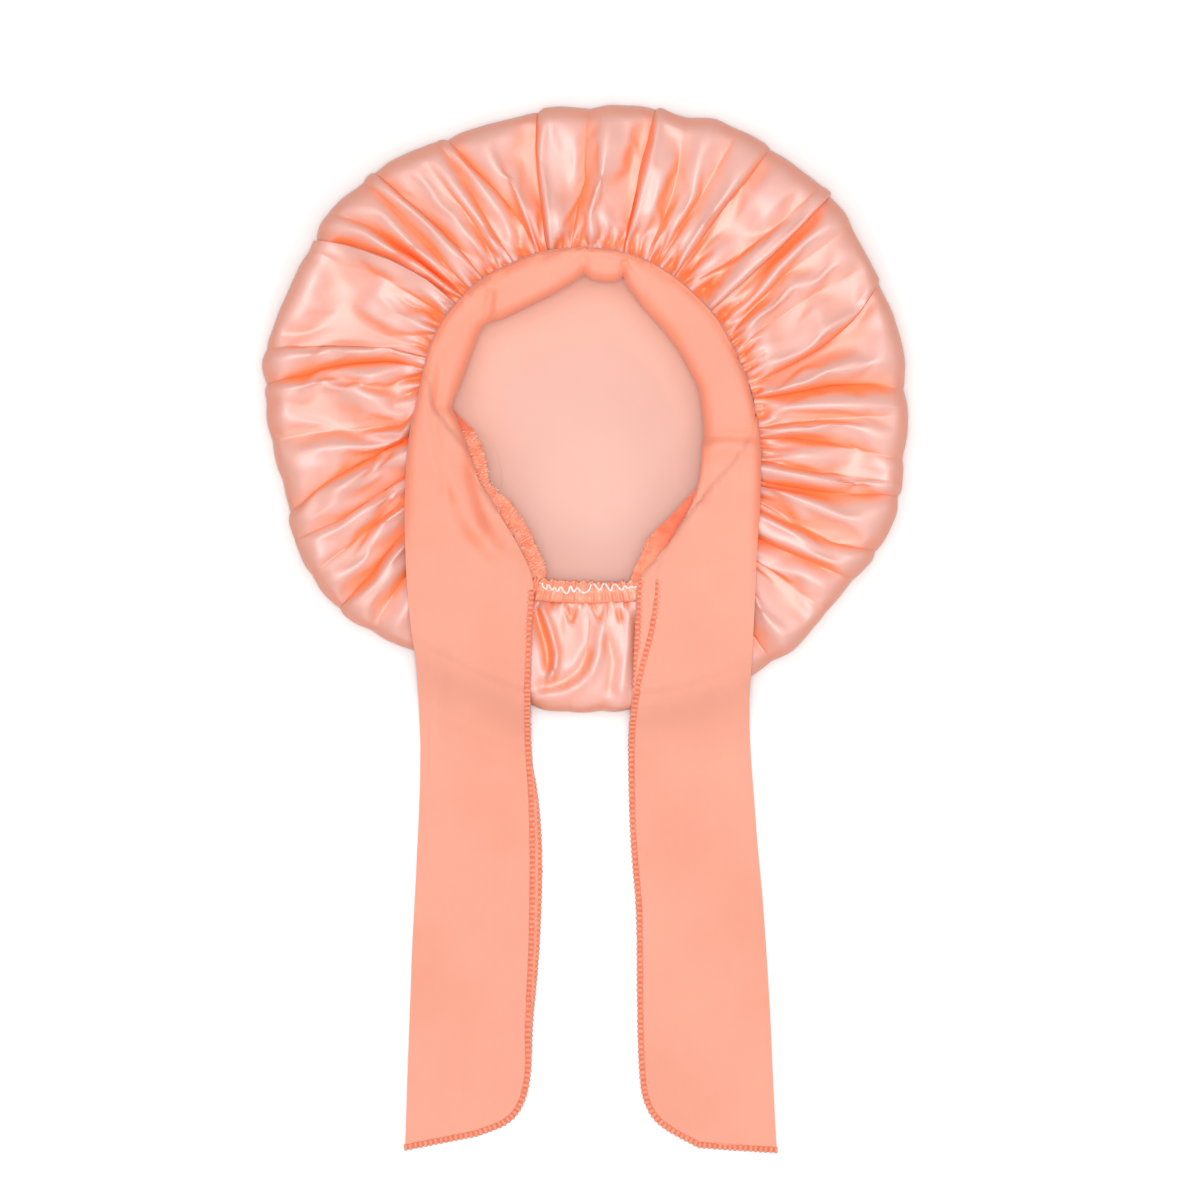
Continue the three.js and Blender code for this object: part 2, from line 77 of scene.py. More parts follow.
# The crown's side view from the mouth out, round the widest line and in underneath: shares of the
# mouth's reach, of the outline's reach and of the crest, then how far main folds and gathers show
CROWN_SECTION = (
    (1.0, 0.0, 0.84, 0.1, 0.2),
    (0.99, 0.01, 0.88, 0.3, 0.7),
    (0.95, 0.05, 0.93, 0.5, 1.0),
    (0.88, 0.12, 0.97, 0.75, 1.0),
    (0.76, 0.24, 1.0, 0.95, 1.0),
    (0.6, 0.4, 1.0, 1.0, 1.0),
    (0.44, 0.56, 0.99, 1.0, 1.0),
    (0.28, 0.72, 0.955, 1.0, 1.0),
    (0.15, 0.85, 0.9, 0.95, 1.0),
    (0.07, 0.93, 0.82, 0.85, 0.8),
    (0.02, 0.98, 0.68, 0.7, 0.5),
    (0.0, 1.0, 0.5, 0.5, 0.3),
    (0.0, 0.997, 0.3, 0.3, 0.1),
    (0.0, 0.98, 0.12, 0.15, 0.0),
    (0.0, 0.94, 0.0, 0.0, 0.0),
    (0.0, 0.6, 0.0, 0.0, 0.0),
    (0.0, 0.3, 0.0, 0.0, 0.0),
    (0.0, 0.0, 0.0, 0.0, 0.0),
)

# The main folds, one row for each valley: its clock angle at the outline, three quarters out, half
# way, a quarter out and at the mouth; its depth in mm at the outline, half way and at the mouth; and
# its lap, 1 where the cloth before it lies over the cloth after it and -1 where it lies under
FOLDS = (
    (-152, -149, -146, -143, -140, 3, 4, 4, 0.2),
    (-142, -139, -135, -131, -127, 4, 5, 5, 0.3),
    (-133, -131, -129, -121, -115, 2, 4, 5, 0.0),
    (-126, -124.5, -120.5, -115.5, -109, 5, 8, 7, 0.6),
    (-118, -116.5, -113, -108.5, -102, 2, 4, 5, -0.3),
    (-111, -110.5, -108, -104, -96, 1, 5, 7, 0.5),
    (-106, -101.5, -98.5, -94, -87, 4, 9, 8, 0.5),
    (-92.5, -91.3, -90.7, -89.5, -81, 3, 6, 4, 0.0),
    (-82.5, -80, -75.7, -71.9, -70.5, 5, 8, 7, 0.9),
    (-76.5, -74, -71.3, -68.3, -66.5, 3, 7, 7, 0.3),
    (-57.5, -56.5, -54, -53, -52, 0, 3, 5, 0.0),
    (-56, -52.7, -49.7, -47.6, -46.8, 6, 7, 7, 1.0),
    (-50.5, -47.2, -46.3, -45, -43.5, 2, 8, 7, 0.0),
    (-42.5, -41.8, -41.5, -41.5, -40.5, 3, 4, 4, 0.0),
    (-40, -38.8, -37, -35.6, -35, 3, 6, 7, 0.4),
    (-32, -31, -30, -29.5, -29, 0, 2, 5, 0.0),
    (-28, -26.5, -26, -25.3, -24, 1, 4, 4, 0.0),
    (-26, -23.8, -20.3, -17.4, -16.2, 4, 5, 6, -0.4),
    (-8.8, -10.2, -11, -11.8, -12.7, 6, 9, 9, -1.0),
    (0.5, -0.2, -0.5, -2.8, -5.3, 3, 6, 7, -0.5),
    (12.2, 12.2, 11.7, 11.7, 11.8, 5, 9, 9, -0.9),
    (17.5, 18.5, 20, 20, 19.3, 1, 4, 6, 0.0),
    (27, 26.5, 26, 24.8, 24, 1, 3, 5, 0.0),
    (33.2, 33, 32, 31, 30, 3, 6, 7, 0.7),
    (44, 43.5, 42.3, 40, 35.5, 1, 3, 5, 0.0),
    (46.2, 46.6, 47, 47, 47, 5, 8, 8, 0.9),
    (53, 52.5, 52.5, 54.5, 57, 0, 4, 7, 0.0),
    (60, 60, 60, 61, 63, 0, 2, 5, 0.0),
    (63.5, 68, 71.4, 73.5, 75.5, 4, 8, 8, 0.8),
    (83.2, 81.3, 80, 80.3, 80.5, 5, 8, 8, 0.7),
    (88, 88, 88.2, 88.8, 90, 0, 3, 5, 0.0),
    (96, 95.3, 94, 93.4, 94.5, 2, 6, 7, 0.2),
    (100, 100.5, 101, 101, 101.5, 0, 3, 6, 0.0),
    (102.7, 104, 106.3, 108, 108.3, 4, 7, 8, -0.5),
    (113.5, 116, 115.5, 114.6, 113.8, 4, 6, 7, -0.5),
    (120, 121.3, 123, 124.6, 126.5, 3, 8, 8, 0.3),
    (128, 128, 128.5, 129.5, 131, 2, 4, 5, 0.0),
    (142, 141.5, 139, 137, 135.5, 5, 8, 7, 0.4),
    (152, 150, 147, 144.5, 143, 3, 4, 4, 0.0),
    (161, 159, 157, 155, 153, 2, 3, 4, 0.0),
    (170, 170, 169.5, 169, 168.5, 2, 3, 3, 0.0),
    (177, 176.5, 175.5, 174.5, 174, 1, 3, 3, 0.3),
    (184, 182.5, 181, 180, 180, 2, 3, 3, -0.3),
    (192, 191, 189.5, 188, 187, 3, 4, 4, 0.0),
    (200, 199, 198, 198, 198, 2, 3, 4, 0.0),
)

CROWN_ROWS = 54


def ring_profile(rows, smoothing=1.6):
    """A table round the clock as a smooth function of the clock angle."""
    clocks = np.arange(0, 360, 0.25)
    values = np.interp(clocks, [row[0] for row in rows], [row[1] for row in rows], period=360)
    offsets = np.arange(-40, 41) * 0.25
    weights = np.exp(-0.5 * (offsets / smoothing) ** 2)
    padded = np.concatenate([values[-40:], values, values[:40]])
    smooth = np.convolve(padded, weights / weights.sum(), "valid")
    return lambda clock: np.interp(clock, clocks, smooth, period=360)


outline_at = ring_profile([(clock, reach * POINT) for clock, reach in CROWN_OUTLINE], 0.8)
crest_at = ring_profile([(clock, height * MM) for clock, height in CROWN_CREST], 5)
mouth_at = ring_profile([(clock, reach * POINT) for clock, reach in MOUTH], 4)


def smooth_path(rows, count, lengths=None):
    """Points along a smooth curve through the rows, evenly spaced by the given lengths."""
    rows = np.asarray(rows, float)
    padded = np.vstack([2 * rows[0] - rows[1], rows, 2 * rows[-1] - rows[-2]])
    fine = []
    for index in range(1, len(padded) - 2):
        p0, p1, p2, p3 = padded[index - 1 : index + 3]
        t = np.linspace(0, 1, 16, endpoint=False)[:, None]
        fine.append(
            0.5
            * (
                2 * p1
                + (p2 - p0) * t
                + (2 * p0 - 5 * p1 + 4 * p2 - p3) * t**2
                + (3 * p1 - p0 - 3 * p2 + p3) * t**3
            )
        )
    fine = np.vstack(fine + [rows[-1:]])
    steps = np.abs(np.diff(lengths(fine), axis=0)) if lengths else np.diff(fine, axis=0)
    along = np.concatenate([[0], np.cumsum(np.linalg.norm(steps, axis=1))])
    places = np.linspace(0, along[-1], count)
    return np.stack([np.interp(places, along, fine[:, k]) for k in range(fine.shape[1])], axis=1)


def section_lengths(section):
    """Real reach and height of a typical section, with the flat base counted at a fifth."""
    reach = section[:, 0] * 90 + section[:, 1] * 175
    on_table = (section[:, 0] < 0.004) & (reach < 160)
    return np.stack([np.where(on_table, 128 + reach * 0.2, reach), section[:, 2] * 33], axis=1)


SEWN_LEVEL = 0.85  # how high the sewn edge lies, as a share of the crest

crown_section = smooth_path(CROWN_SECTION, CROWN_ROWS, section_lengths)
mouth_share, outline_share, lift, fold_share, gather_share = crown_section.T
widest = int(np.argmax(outline_share))
out_share = np.where(np.arange(CROWN_ROWS) < widest, np.clip(outline_share, 0, 1), 1.0)

fold_rows = np.asarray(FOLDS, float)
fold_rows = np.vstack([fold_rows, fold_rows[0] + np.array([360] * 5 + [0] * 4)])
fold_clock = np.array([np.interp(out_share, [0, 0.25, 0.5, 0.75, 1], row[4::-1]) for row in fold_rows])
fold_depth = np.array([np.interp(out_share, [0, 0.5, 1], row[7:4:-1]) for row in fold_rows]) * fold_share
fold_lap = fold_rows[:, 8]


def valley(across, depth, width):
    """The dip beside a fold's line, where across runs from 0 at the line to 1 at the next line."""
    return depth * np.clip(1 - across / width, 0, 1) ** 1.8


def eased(value):
    value = np.clip(value, 0, 1)
    return value * value * (3 - 2 * value)


GATHER_SPACING = 3.7 * MM
MOUTH_REACH = 93 * MM  # on average

generator = np.random.default_rng(7)
mean_width = np.diff(fold_clock[:, widest // 2])
columns_in = np.maximum(8, np.round(CROWN_COLUMNS * mean_width / mean_width.sum()).astype(int))
clock_grid, sink_grid, shift_grid, gather_grid = [], [], [], []
for index, columns in enumerate(columns_in):
    across = np.arange(columns) / columns
    across = (across - 0.06 * np.sin(2 * math.pi * across))[:, None]
    start, end = fold_clock[index][None], fold_clock[index + 1][None]
    clock = start + across * (end - start)
    reach = mouth_share * mouth_at(clock) + outline_share * outline_at(clock)
    width = np.radians(end - start) * reach
    lap_before, lap_after = fold_lap[index], fold_lap[index + 1]
    sink = valley(across, fold_depth[index], 0.5 + 0.36 * lap_before)
    sink = sink + valley(1 - across, fold_depth[index + 1], 0.5 - 0.36 * lap_after)
    spread = 1.6 * MM * fold_share
    shift = np.exp(-(((1 - across) * width / (3 * MM)) ** 2)) * max(lap_after, 0)
    shift = shift - np.exp(-((across * width / (3 * MM)) ** 2)) * max(-lap_before, 0)
    # Smaller gathers run in from the mouth between the main folds and die out one by one
    mouth_width = float(np.mean(np.radians(end - start)[0, 2:4]) * MOUTH_REACH)
    gathers = max(1, round(mouth_width / GATHER_SPACING) - 1)
    gathered = np.zeros(clock.shape)
    for number in range(gathers):
        place = (number + 1 + generator.uniform(-0.28, 0.28)) / (gathers + 1)
        is_long = number % 3 == generator.integers(0, 3)
        fades_at = generator.uniform(0.28, 0.5) if is_long else generator.uniform(0.09, 0.24)
        depth = generator.uniform(3.2, 5.5) if is_long else generator.uniform(2.4, 4.2)
        half = (2.0 if is_long else 1.2) * MM
        wander = generator.uniform(0.02, 0.07) * np.sin(
            2 * math.pi * (out_share * generator.uniform(1.5, 4) + generator.uniform())
        )
        path = place + wander
        away = np.sqrt(((across - path) * width) ** 2 + (0.35 * MM) ** 2)
        reach_in = eased((fades_at - out_share) / fades_at) ** 0.8
        widening = half * (1 + 3.5 * out_share)
        gathered = gathered + depth * reach_in * gather_share * np.exp(-away / widening)
    clock_grid.append(clock)
    sink_grid.append((sink + gathered) * MM)
    shift_grid.append(shift * spread)
    gather_grid.append(gathered * MM)
clock_grid, sink_grid = np.vstack(clock_grid), np.vstack(sink_grid)
shift_grid, gather_grid = np.vstack(shift_grid), np.vstack(gather_grid)


def slow_waves(x, y, seed, lengths, turns=7):
    """Gentle unevenness: a sum of waves with the given shortest and longest length."""
    waves = np.random.default_rng(seed)
    total = np.zeros(np.broadcast(x, y).shape)
    for _ in range(turns):
        heading = waves.uniform(0, 2 * math.pi)
        length = waves.uniform(*lengths)
        phase = waves.uniform(0, 2 * math.pi)
        total += np.sin(2 * math.pi * (x * math.cos(heading) + y * math.sin(heading)) / length + phase)
    return total / math.sqrt(turns)


def crown_points():
    """The crown as it is laid down: the chart's folds over a smooth ring."""
    reach = mouth_share * mouth_at(clock_grid) + outline_share * outline_at(clock_grid)
    height = lift * crest_at(clock_grid)
    run_reach, run_height = np.gradient(reach, axis=1), np.gradient(height, axis=1)
    run = np.hypot(run_reach, run_height) + 1e-12
    out_r, out_z = -run_height / run, run_reach / run
    flat = np.arange(CROWN_ROWS) > widest
    angle = np.radians(clock_grid)
    across, onward = reach * np.sin(angle), reach * np.cos(angle)
    uneven = 0.9 * MM * slow_waves(across, onward, 3, (0.035, 0.07)) * fold_share
    streaks = 0.45 * MM * slow_waves(angle * 0.14, reach * 0.16, 5, (0.009, 0.02)) * fold_share
    sink = sink_grid + uneven + streaks
    reach = reach - out_r * sink
    height = np.where(flat, np.maximum(height - out_z * sink, 0), height - out_z * sink)
    angle = angle + shift_grid / np.maximum(reach, 0.05)
    return np.stack([reach * np.sin(angle), reach * np.cos(angle), np.maximum(height, 0)], axis=-1)


# How much more cloth there is round the crown than the smooth ring needs, by the share of the way out
CUT_WIDTH = ((0, 2.4), (0.07, 2.1), (0.16, 1.66), (0.3, 1.34), (0.5, 1.16), (0.75, 1.06), (1, 1.02))
CUT_LENGTH = 1.015
SETTLING_FRAMES = 24


def settled(points):
    """The ring of the crown after its cloth has found its own folds, held at the mouth and the rim."""
    rows = 1 + int(np.argmax((np.arange(CROWN_ROWS) > widest) & (outline_share < 0.955)))
    ring, columns = points[:, :rows], len(points)
    reach = (mouth_share * mouth_at(clock_grid) + outline_share * outline_at(clock_grid))[:, :rows]
    height = (lift * crest_at(clock_grid))[:, :rows]
    cut = reach * np.interp(out_share[:rows], *zip(*CUT_WIDTH))
    runs = CUT_LENGTH * np.hypot(np.diff(reach, axis=1), np.diff(height, axis=1))
    drops = np.sqrt(np.maximum(runs**2 - np.diff(cut, axis=1) ** 2, 0))
    depth = np.concatenate([np.zeros((columns, 1)), np.cumsum(drops, axis=1)], axis=1)
    angle = np.linspace(0, 2 * math.pi, columns, endpoint=False)[:, None] + np.radians(clock_grid[0, 0])
    unfolded = np.stack([cut * np.sin(angle), cut * np.cos(angle), -depth], axis=-1)
    cloth = grid_mesh("settling_cloth", ring, wrap_rows=True)
    cloth.shape_key_add(name="laid")
    cut_key = cloth.shape_key_add(name="unfolded")
    cut_key.data.foreach_set("co", unfolded.reshape(-1))
    held = cloth.vertex_groups.new(name="held")
    numbers = np.arange(columns * rows).reshape(columns, rows)
    held.add(numbers[:, 0].tolist(), 1.0, "REPLACE")
    held.add(numbers[:, widest - 1 :].reshape(-1).tolist(), 1.0, "REPLACE")
    solver = cloth.modifiers.new("cloth", "CLOTH")
    solver.collision_settings.use_collision = False
    solver.point_cache.frame_end = SETTLING_FRAMES
    satin = solver.settings
    satin.vertex_group_mass = "held"
    satin.rest_shape_key = cut_key
    satin.quality = 5
    satin.mass = 0.1
    satin.tension_stiffness = 40
    satin.compression_stiffness = 18
    satin.shear_stiffness = 4
    satin.bending_stiffness = 1.2
    satin.tension_damping = satin.compression_damping = satin.shear_damping = 5
    satin.bending_damping = 0.5
    satin.air_damping = 4
    satin.effector_weights.gravity = 0.03
    for number in range(1, SETTLING_FRAMES + 1):
        bpy.context.scene.frame_set(number)
    shape = cloth.evaluated_get(bpy.context.evaluated_depsgraph_get()).to_mesh()
    places = np.empty(columns * rows * 3)
    shape.vertices.foreach_get("co", places)
    bpy.data.objects.remove(cloth)
    bpy.context.scene.frame_set(1)
    result = points.copy()
    result[:, :rows] = places.reshape(columns, rows, 3)
    result[..., 2] = np.maximum(result[..., 2], 0)
    return result


def softened(values, around_count, along_count):
    """Values of the crown's grid averaged with their neighbours round the ring and along it."""
    total = sum(np.roll(values, step, axis=0) for step in range(-around_count, around_count + 1))
    padded = np.pad(total / (2 * around_count + 1), ((0, 0), (along_count, along_count)), "edge")
    rows = values.shape[1]
    return sum(padded[:, step : step + rows] for step in range(2 * along_count + 1)) / (2 * along_count + 1)


# The slack satin between the ties: the path of each larger fold in mm, its height and its half width
NAPE_FOLDS = (
    (
        ((-27.8, -92.7), (-23.4, -101.9), (-19.6, -111.2), (-16.9, -122.1), (-17.6, -130), (-20.4, -136)),
        2.5,
        1.9,
    ),
    (((-28.6, -97), (-25.8, -109), (-22.6, -120), (-21.6, -129)), -2.6, 2.4),
    (((-28.9, -147.2), (-15.3, -145), (-5, -140.6), (2.5, -132), (6.3, -121), (8.2, -108)), 1.7, 3.2),
    (((-24.5, -140.4), (-12.5, -137.8), (-5, -132), (-0.5, -123)), -1.6, 3.2),
    (((10.8, -116), (13.8, -127), (11.8, -142)), -1.5, 3.2),
    (((22.4, -99), (21.6, -120), (18.4, -143)), 1.3, 3.0),
    (((-13.4, -95), (-9.2, -104.5), (-5.4, -95)), -2.2, 1.3),
    (((1.8, -95), (5.6, -103), (9.4, -95)), -2.0, 1.3),
    (((15.5, -95), (17.4, -104)), -1.8, 1.2),
)


def away_from(path, x, y):
    """Distance from a path of straight runs to every point of a grid."""
    nearest = np.full(x.shape, np.inf)
    for (x0, y0), (x1, y1) in zip(path, path[1:]):
        run = np.array([x1 - x0, y1 - y0])
        share = np.clip(((x - x0) * run[0] + (y - y0) * run[1]) / (run @ run), 0, 1)
        nearest = np.minimum(nearest, np.hypot(x - x0 - share * run[0], y - y0 - share * run[1]))
    return nearest


def nape_folded(points):
    """The crown with larger folds laid into it between the ties, in place of the small ones there."""
    x, y = points[..., 0] / MM, points[..., 1] / MM
    place = eased((x + 35) / 6) * eased((29 - x) / 6) * eased((-94 - y) / 8) * eased((y + 155) / 8)
    place = place * (np.arange(CROWN_ROWS) < widest - 1)
    folds = sum(height * np.exp(-((away_from(path, x, y) / half) ** 2)) for path, height, half in NAPE_FOLDS)
    result = points.copy()
    result[..., 2] += place * (0.85 * (softened(points[..., 2], 12, 3) - points[..., 2]) + folds * MM)
    return result


def steepness(points):
    """0 where a cloth lies level and 1 where it stands upright."""
    facing = np.cross(np.gradient(points, axis=1), np.gradient(points, axis=0))
    return 1 - np.abs(facing[..., 2]) / (np.linalg.norm(facing, axis=-1) + 1e-12)


def painted_fold_glow_marks(points):
    """Painted glow and shade: a deeper orange painted where cloth faces cloth, in low places between folds,
    on their slopes and at the mouth, with less of it towards the rim.
    """
    low = (softened(points[..., 2], 9, 2) - points[..., 2]) / MM
    at_mouth = np.clip(1 - out_share / 0.12, 0, 1)
    marks = 0.1 + 0.45 * at_mouth + (0.22 + 0.3 * at_mouth) * low
    marks = marks + 0.85 * np.clip((steepness(points) - 0.05) / 0.3, 0, 1)
    rim = np.clip((out_share - 0.85) / 0.1, 0, 1) * 0.45
    return np.clip(marks, 0, 1) * (1 - rim)


def painted_through_light_marks(points):
    """Painted light: a warmer, lighter colour on the dull side below the front and sides of the band,
    standing for light through the jersey over the band's shade.
    """
    x, y = points[..., 0], points[..., 1]
    share = np.hypot(x, y) / mouth_at(np.degrees(np.arctan2(x, y)))
    return np.clip((share - 0.45) / 0.4, 0, 1) * np.clip(0.5 + y / (80 * MM), 0, 1)


def grid_mesh(name, points, wrap_rows=False, wrap_columns=False, flat_uv=None, marks=None):
    """A mesh from a grid of points, with its faces towards the side that columns x rows turn to."""
    rows, columns = points.shape[:2]
    vertices = points.reshape(-1, 3)
    row = np.arange(rows if wrap_rows else rows - 1)
    column = np.arange(columns if wrap_columns else columns - 1)
    a, b = np.meshgrid(row, column, indexing="ij")
    next_a, next_b = (a + 1) % rows, (b + 1) % columns
    quads = np.stack(
        [a * columns + b, a * columns + next_b, next_a * columns + next_b, next_a * columns + b], axis=-1
    ).reshape(-1, 4)
    mesh = bpy.data.meshes.new(name)
    mesh.from_pydata(vertices.tolist(), [], quads.tolist())
    mesh.polygons.foreach_set("use_smooth", [True] * len(mesh.polygons))
    if flat_uv is not None:
        layer = mesh.uv_layers.new(name="cloth")
        layer.data.foreach_set("uv", flat_uv.reshape(-1, 2)[quads.reshape(-1)].reshape(-1))
    for mark, values in (marks or {}).items():
        mesh.attributes.new(mark, "FLOAT", "POINT").data.foreach_set("value", values.reshape(-1))
    together = bmesh.new()
    together.from_mesh(mesh)
    bmesh.ops.remove_doubles(together, verts=together.verts, dist=1e-6)
    together.to_mesh(mesh)
    together.free()
    piece = bpy.data.objects.new(name, mesh)
    bpy.context.collection.objects.link(piece)
    return piece


def crisp_edges(piece):
    """The cut edges of a cloth, shaded as the narrow flat faces that they are."""
    piece.data.set_sharp_from_angle(angle=math.radians(65))


def thicken(piece, thickness, offset, inner_material=False):
    solidify = piece.modifiers.new("thickness", "SOLIDIFY")
    solidify.thickness = thickness
    solidify.offset = offset
    if inner_material:
        solidify.material_offset = 1
    bpy.context.view_layer.objects.active = piece
    piece.select_set(True)
    bpy.ops.object.modifier_apply(modifier=solidify.name)
    piece.select_set(False)
    crisp_edges(piece)


def node_material(name):
    material = bpy.data.materials.new(name)
    material.use_nodes = True
    tree = material.node_tree
    shader = tree.nodes["Principled BSDF"]
    return material, tree, shader


def add_node(tree, kind, **values):
    node = tree.nodes.new(kind)
    for key, value in values.items():
        if hasattr(node, key):
            setattr(node, key, value)
        else:
            node.inputs[key.replace("_", " ").title()].default_value = value
    return node


def mottled(tree, shader, dark, light, scale, detail=4):
    """A base colour that drifts between two tints."""
    place = add_node(tree, "ShaderNodeTexCoord")
    noise = add_node(tree, "ShaderNodeTexNoise", Scale=scale, Detail=detail)
    ramp = add_node(tree, "ShaderNodeValToRGB")
    ramp.color_ramp.elements[0].position = 0.3
    ramp.color_ramp.elements[1].position = 0.7
    ramp.color_ramp.elements[0].color = (*dark, 1)
    ramp.color_ramp.elements[1].color = (*light, 1)
    tree.links.new(place.outputs["Object"], noise.inputs["Vector"])
    tree.links.new(noise.outputs["Fac"], ramp.inputs["Fac"])
    tree.links.new(ramp.outputs["Color"], shader.inputs["Base Color"])


def deepened(tree, shader, mark, colour):
    """The base colour blended towards another where the mesh is marked."""
    marked = add_node(tree, "ShaderNodeAttribute", attribute_name=mark)
    blend = add_node(tree, "ShaderNodeMix", data_type="RGBA")
    tree.links.new(marked.outputs["Fac"], blend.inputs["Factor"])
    tree.links.new(shader.inputs["Base Color"].links[0].from_socket, blend.inputs[6])
    blend.inputs[7].default_value = (*colour, 1)
    tree.links.new(blend.outputs[2], shader.inputs["Base Color"])


def relief(tree, shader, height, strength, distance):
    bump = add_node(tree, "ShaderNodeBump", Strength=strength, Distance=distance)
    tree.links.new(height, bump.inputs["Height"])
    tree.links.new(bump.outputs["Normal"], shader.inputs["Normal"])


def satin_material(name, dark, light, roughness, level, index, tints=()):
    """Satin, whose colour drifts towards other tints where its mesh is marked."""
    material, tree, shader = node_material(name)
    mottled(tree, shader, dark, light, 9)
    for mark, colour in tints:
        deepened(tree, shader, mark, colour)
    shader.inputs["Roughness"].default_value = roughness
    shader.inputs["IOR"].default_value = index
    shader.inputs["Specular IOR Level"].default_value = level
    shader.inputs["Specular Tint"].default_value = (1.0, 0.68, 0.70, 1)
    # Fine threads across the cut, floating over four and under one
    place = add_node(tree, "ShaderNodeTexCoord")
    threads = add_node(tree, "ShaderNodeTexNoise", Scale=1.0, Detail=2)
    stretch = add_node(tree, "ShaderNodeMapping", Scale=(1400, 90, 1))
    tree.links.new(place.outputs["UV"], stretch.inputs["Vector"])
    tree.links.new(stretch.outputs["Vector"], threads.inputs["Vector"])
    relief(tree, shader, threads.outputs["Fac"], 0.12, 0.0003)
    return material


# The stitches hold the gathers down again where the settled cloth has risen over them
crown_xyz = settled(crown_points())
crown_xyz[..., 2] -= 0.45 * gather_grid * np.clip(out_share / 0.03, 0.3, 1)
crown_xyz = nape_folded(crown_xyz)
cut_angle = np.linspace(0, 2 * math.pi, crown_xyz.shape[0], endpoint=False)[:, None]
cut_reach = np.linspace(1, 0, CROWN_ROWS)[None]
crown_uv = 0.5 + 0.5 * np.stack([cut_reach * np.sin(cut_angle), cut_reach * np.cos(cut_angle)], axis=-1)
# Painted shade: the satin is browned towards its outline, where it turns down away from the light
painted_rim_shade = np.broadcast_to(0.45 * np.clip((outline_share - 0.87) / 0.13, 0, 1), crown_xyz.shape[:2])
crown_marks = {"valley": painted_fold_glow_marks(crown_xyz), "rim": painted_rim_shade, "warm": painted_through_light_marks(crown_xyz)}
crown = grid_mesh(
    "satin_crown",
    crown_xyz[::-1],
    wrap_rows=True,
    flat_uv=crown_uv[::-1],
    marks={mark: values[::-1] for mark, values in crown_marks.items()},
)
# Painted light: the valley tint is painted glow and shade in and beside the folds, the rim tint is painted
# brown shade at the outline
tints = (("valley", (0.96, 0.235, 0.075)), ("rim", (0.56, 0.22, 0.135)))
shiny_satin = satin_material("shiny_satin", (0.72, 0.365, 0.30), (0.76, 0.41, 0.345), 0.42, 1.0, 1.6, tints)
# Painted light: the warm tint lightens the dull side below the band
tints = (("warm", (0.93, 0.50, 0.385)),)
dull_side = satin_material(
    "satin_wrong_side", (0.735, 0.427, 0.353), (0.775, 0.467, 0.395), 0.65, 0.3, 1.45, tints
)
crown.data.materials.append(shiny_satin)
crown.data.materials.append(dull_side)
thicken(crown, SATIN_THICKNESS, -1, inner_material=True)
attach(crown, "root")
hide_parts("crown")

# The tie band. One long strip of matte stretch jersey, folded lengthwise with its raw edges overlocked.
# It is sewn round the front of the opening, rolls in over it, and runs on as the two flat ties.

LAYER_GAP = 1.0 * MM  # between the middles of its two layers
JERSEY_THICKNESS = 0.7 * MM
BAND_STATIONS = 560
BAND_COLUMNS = 30

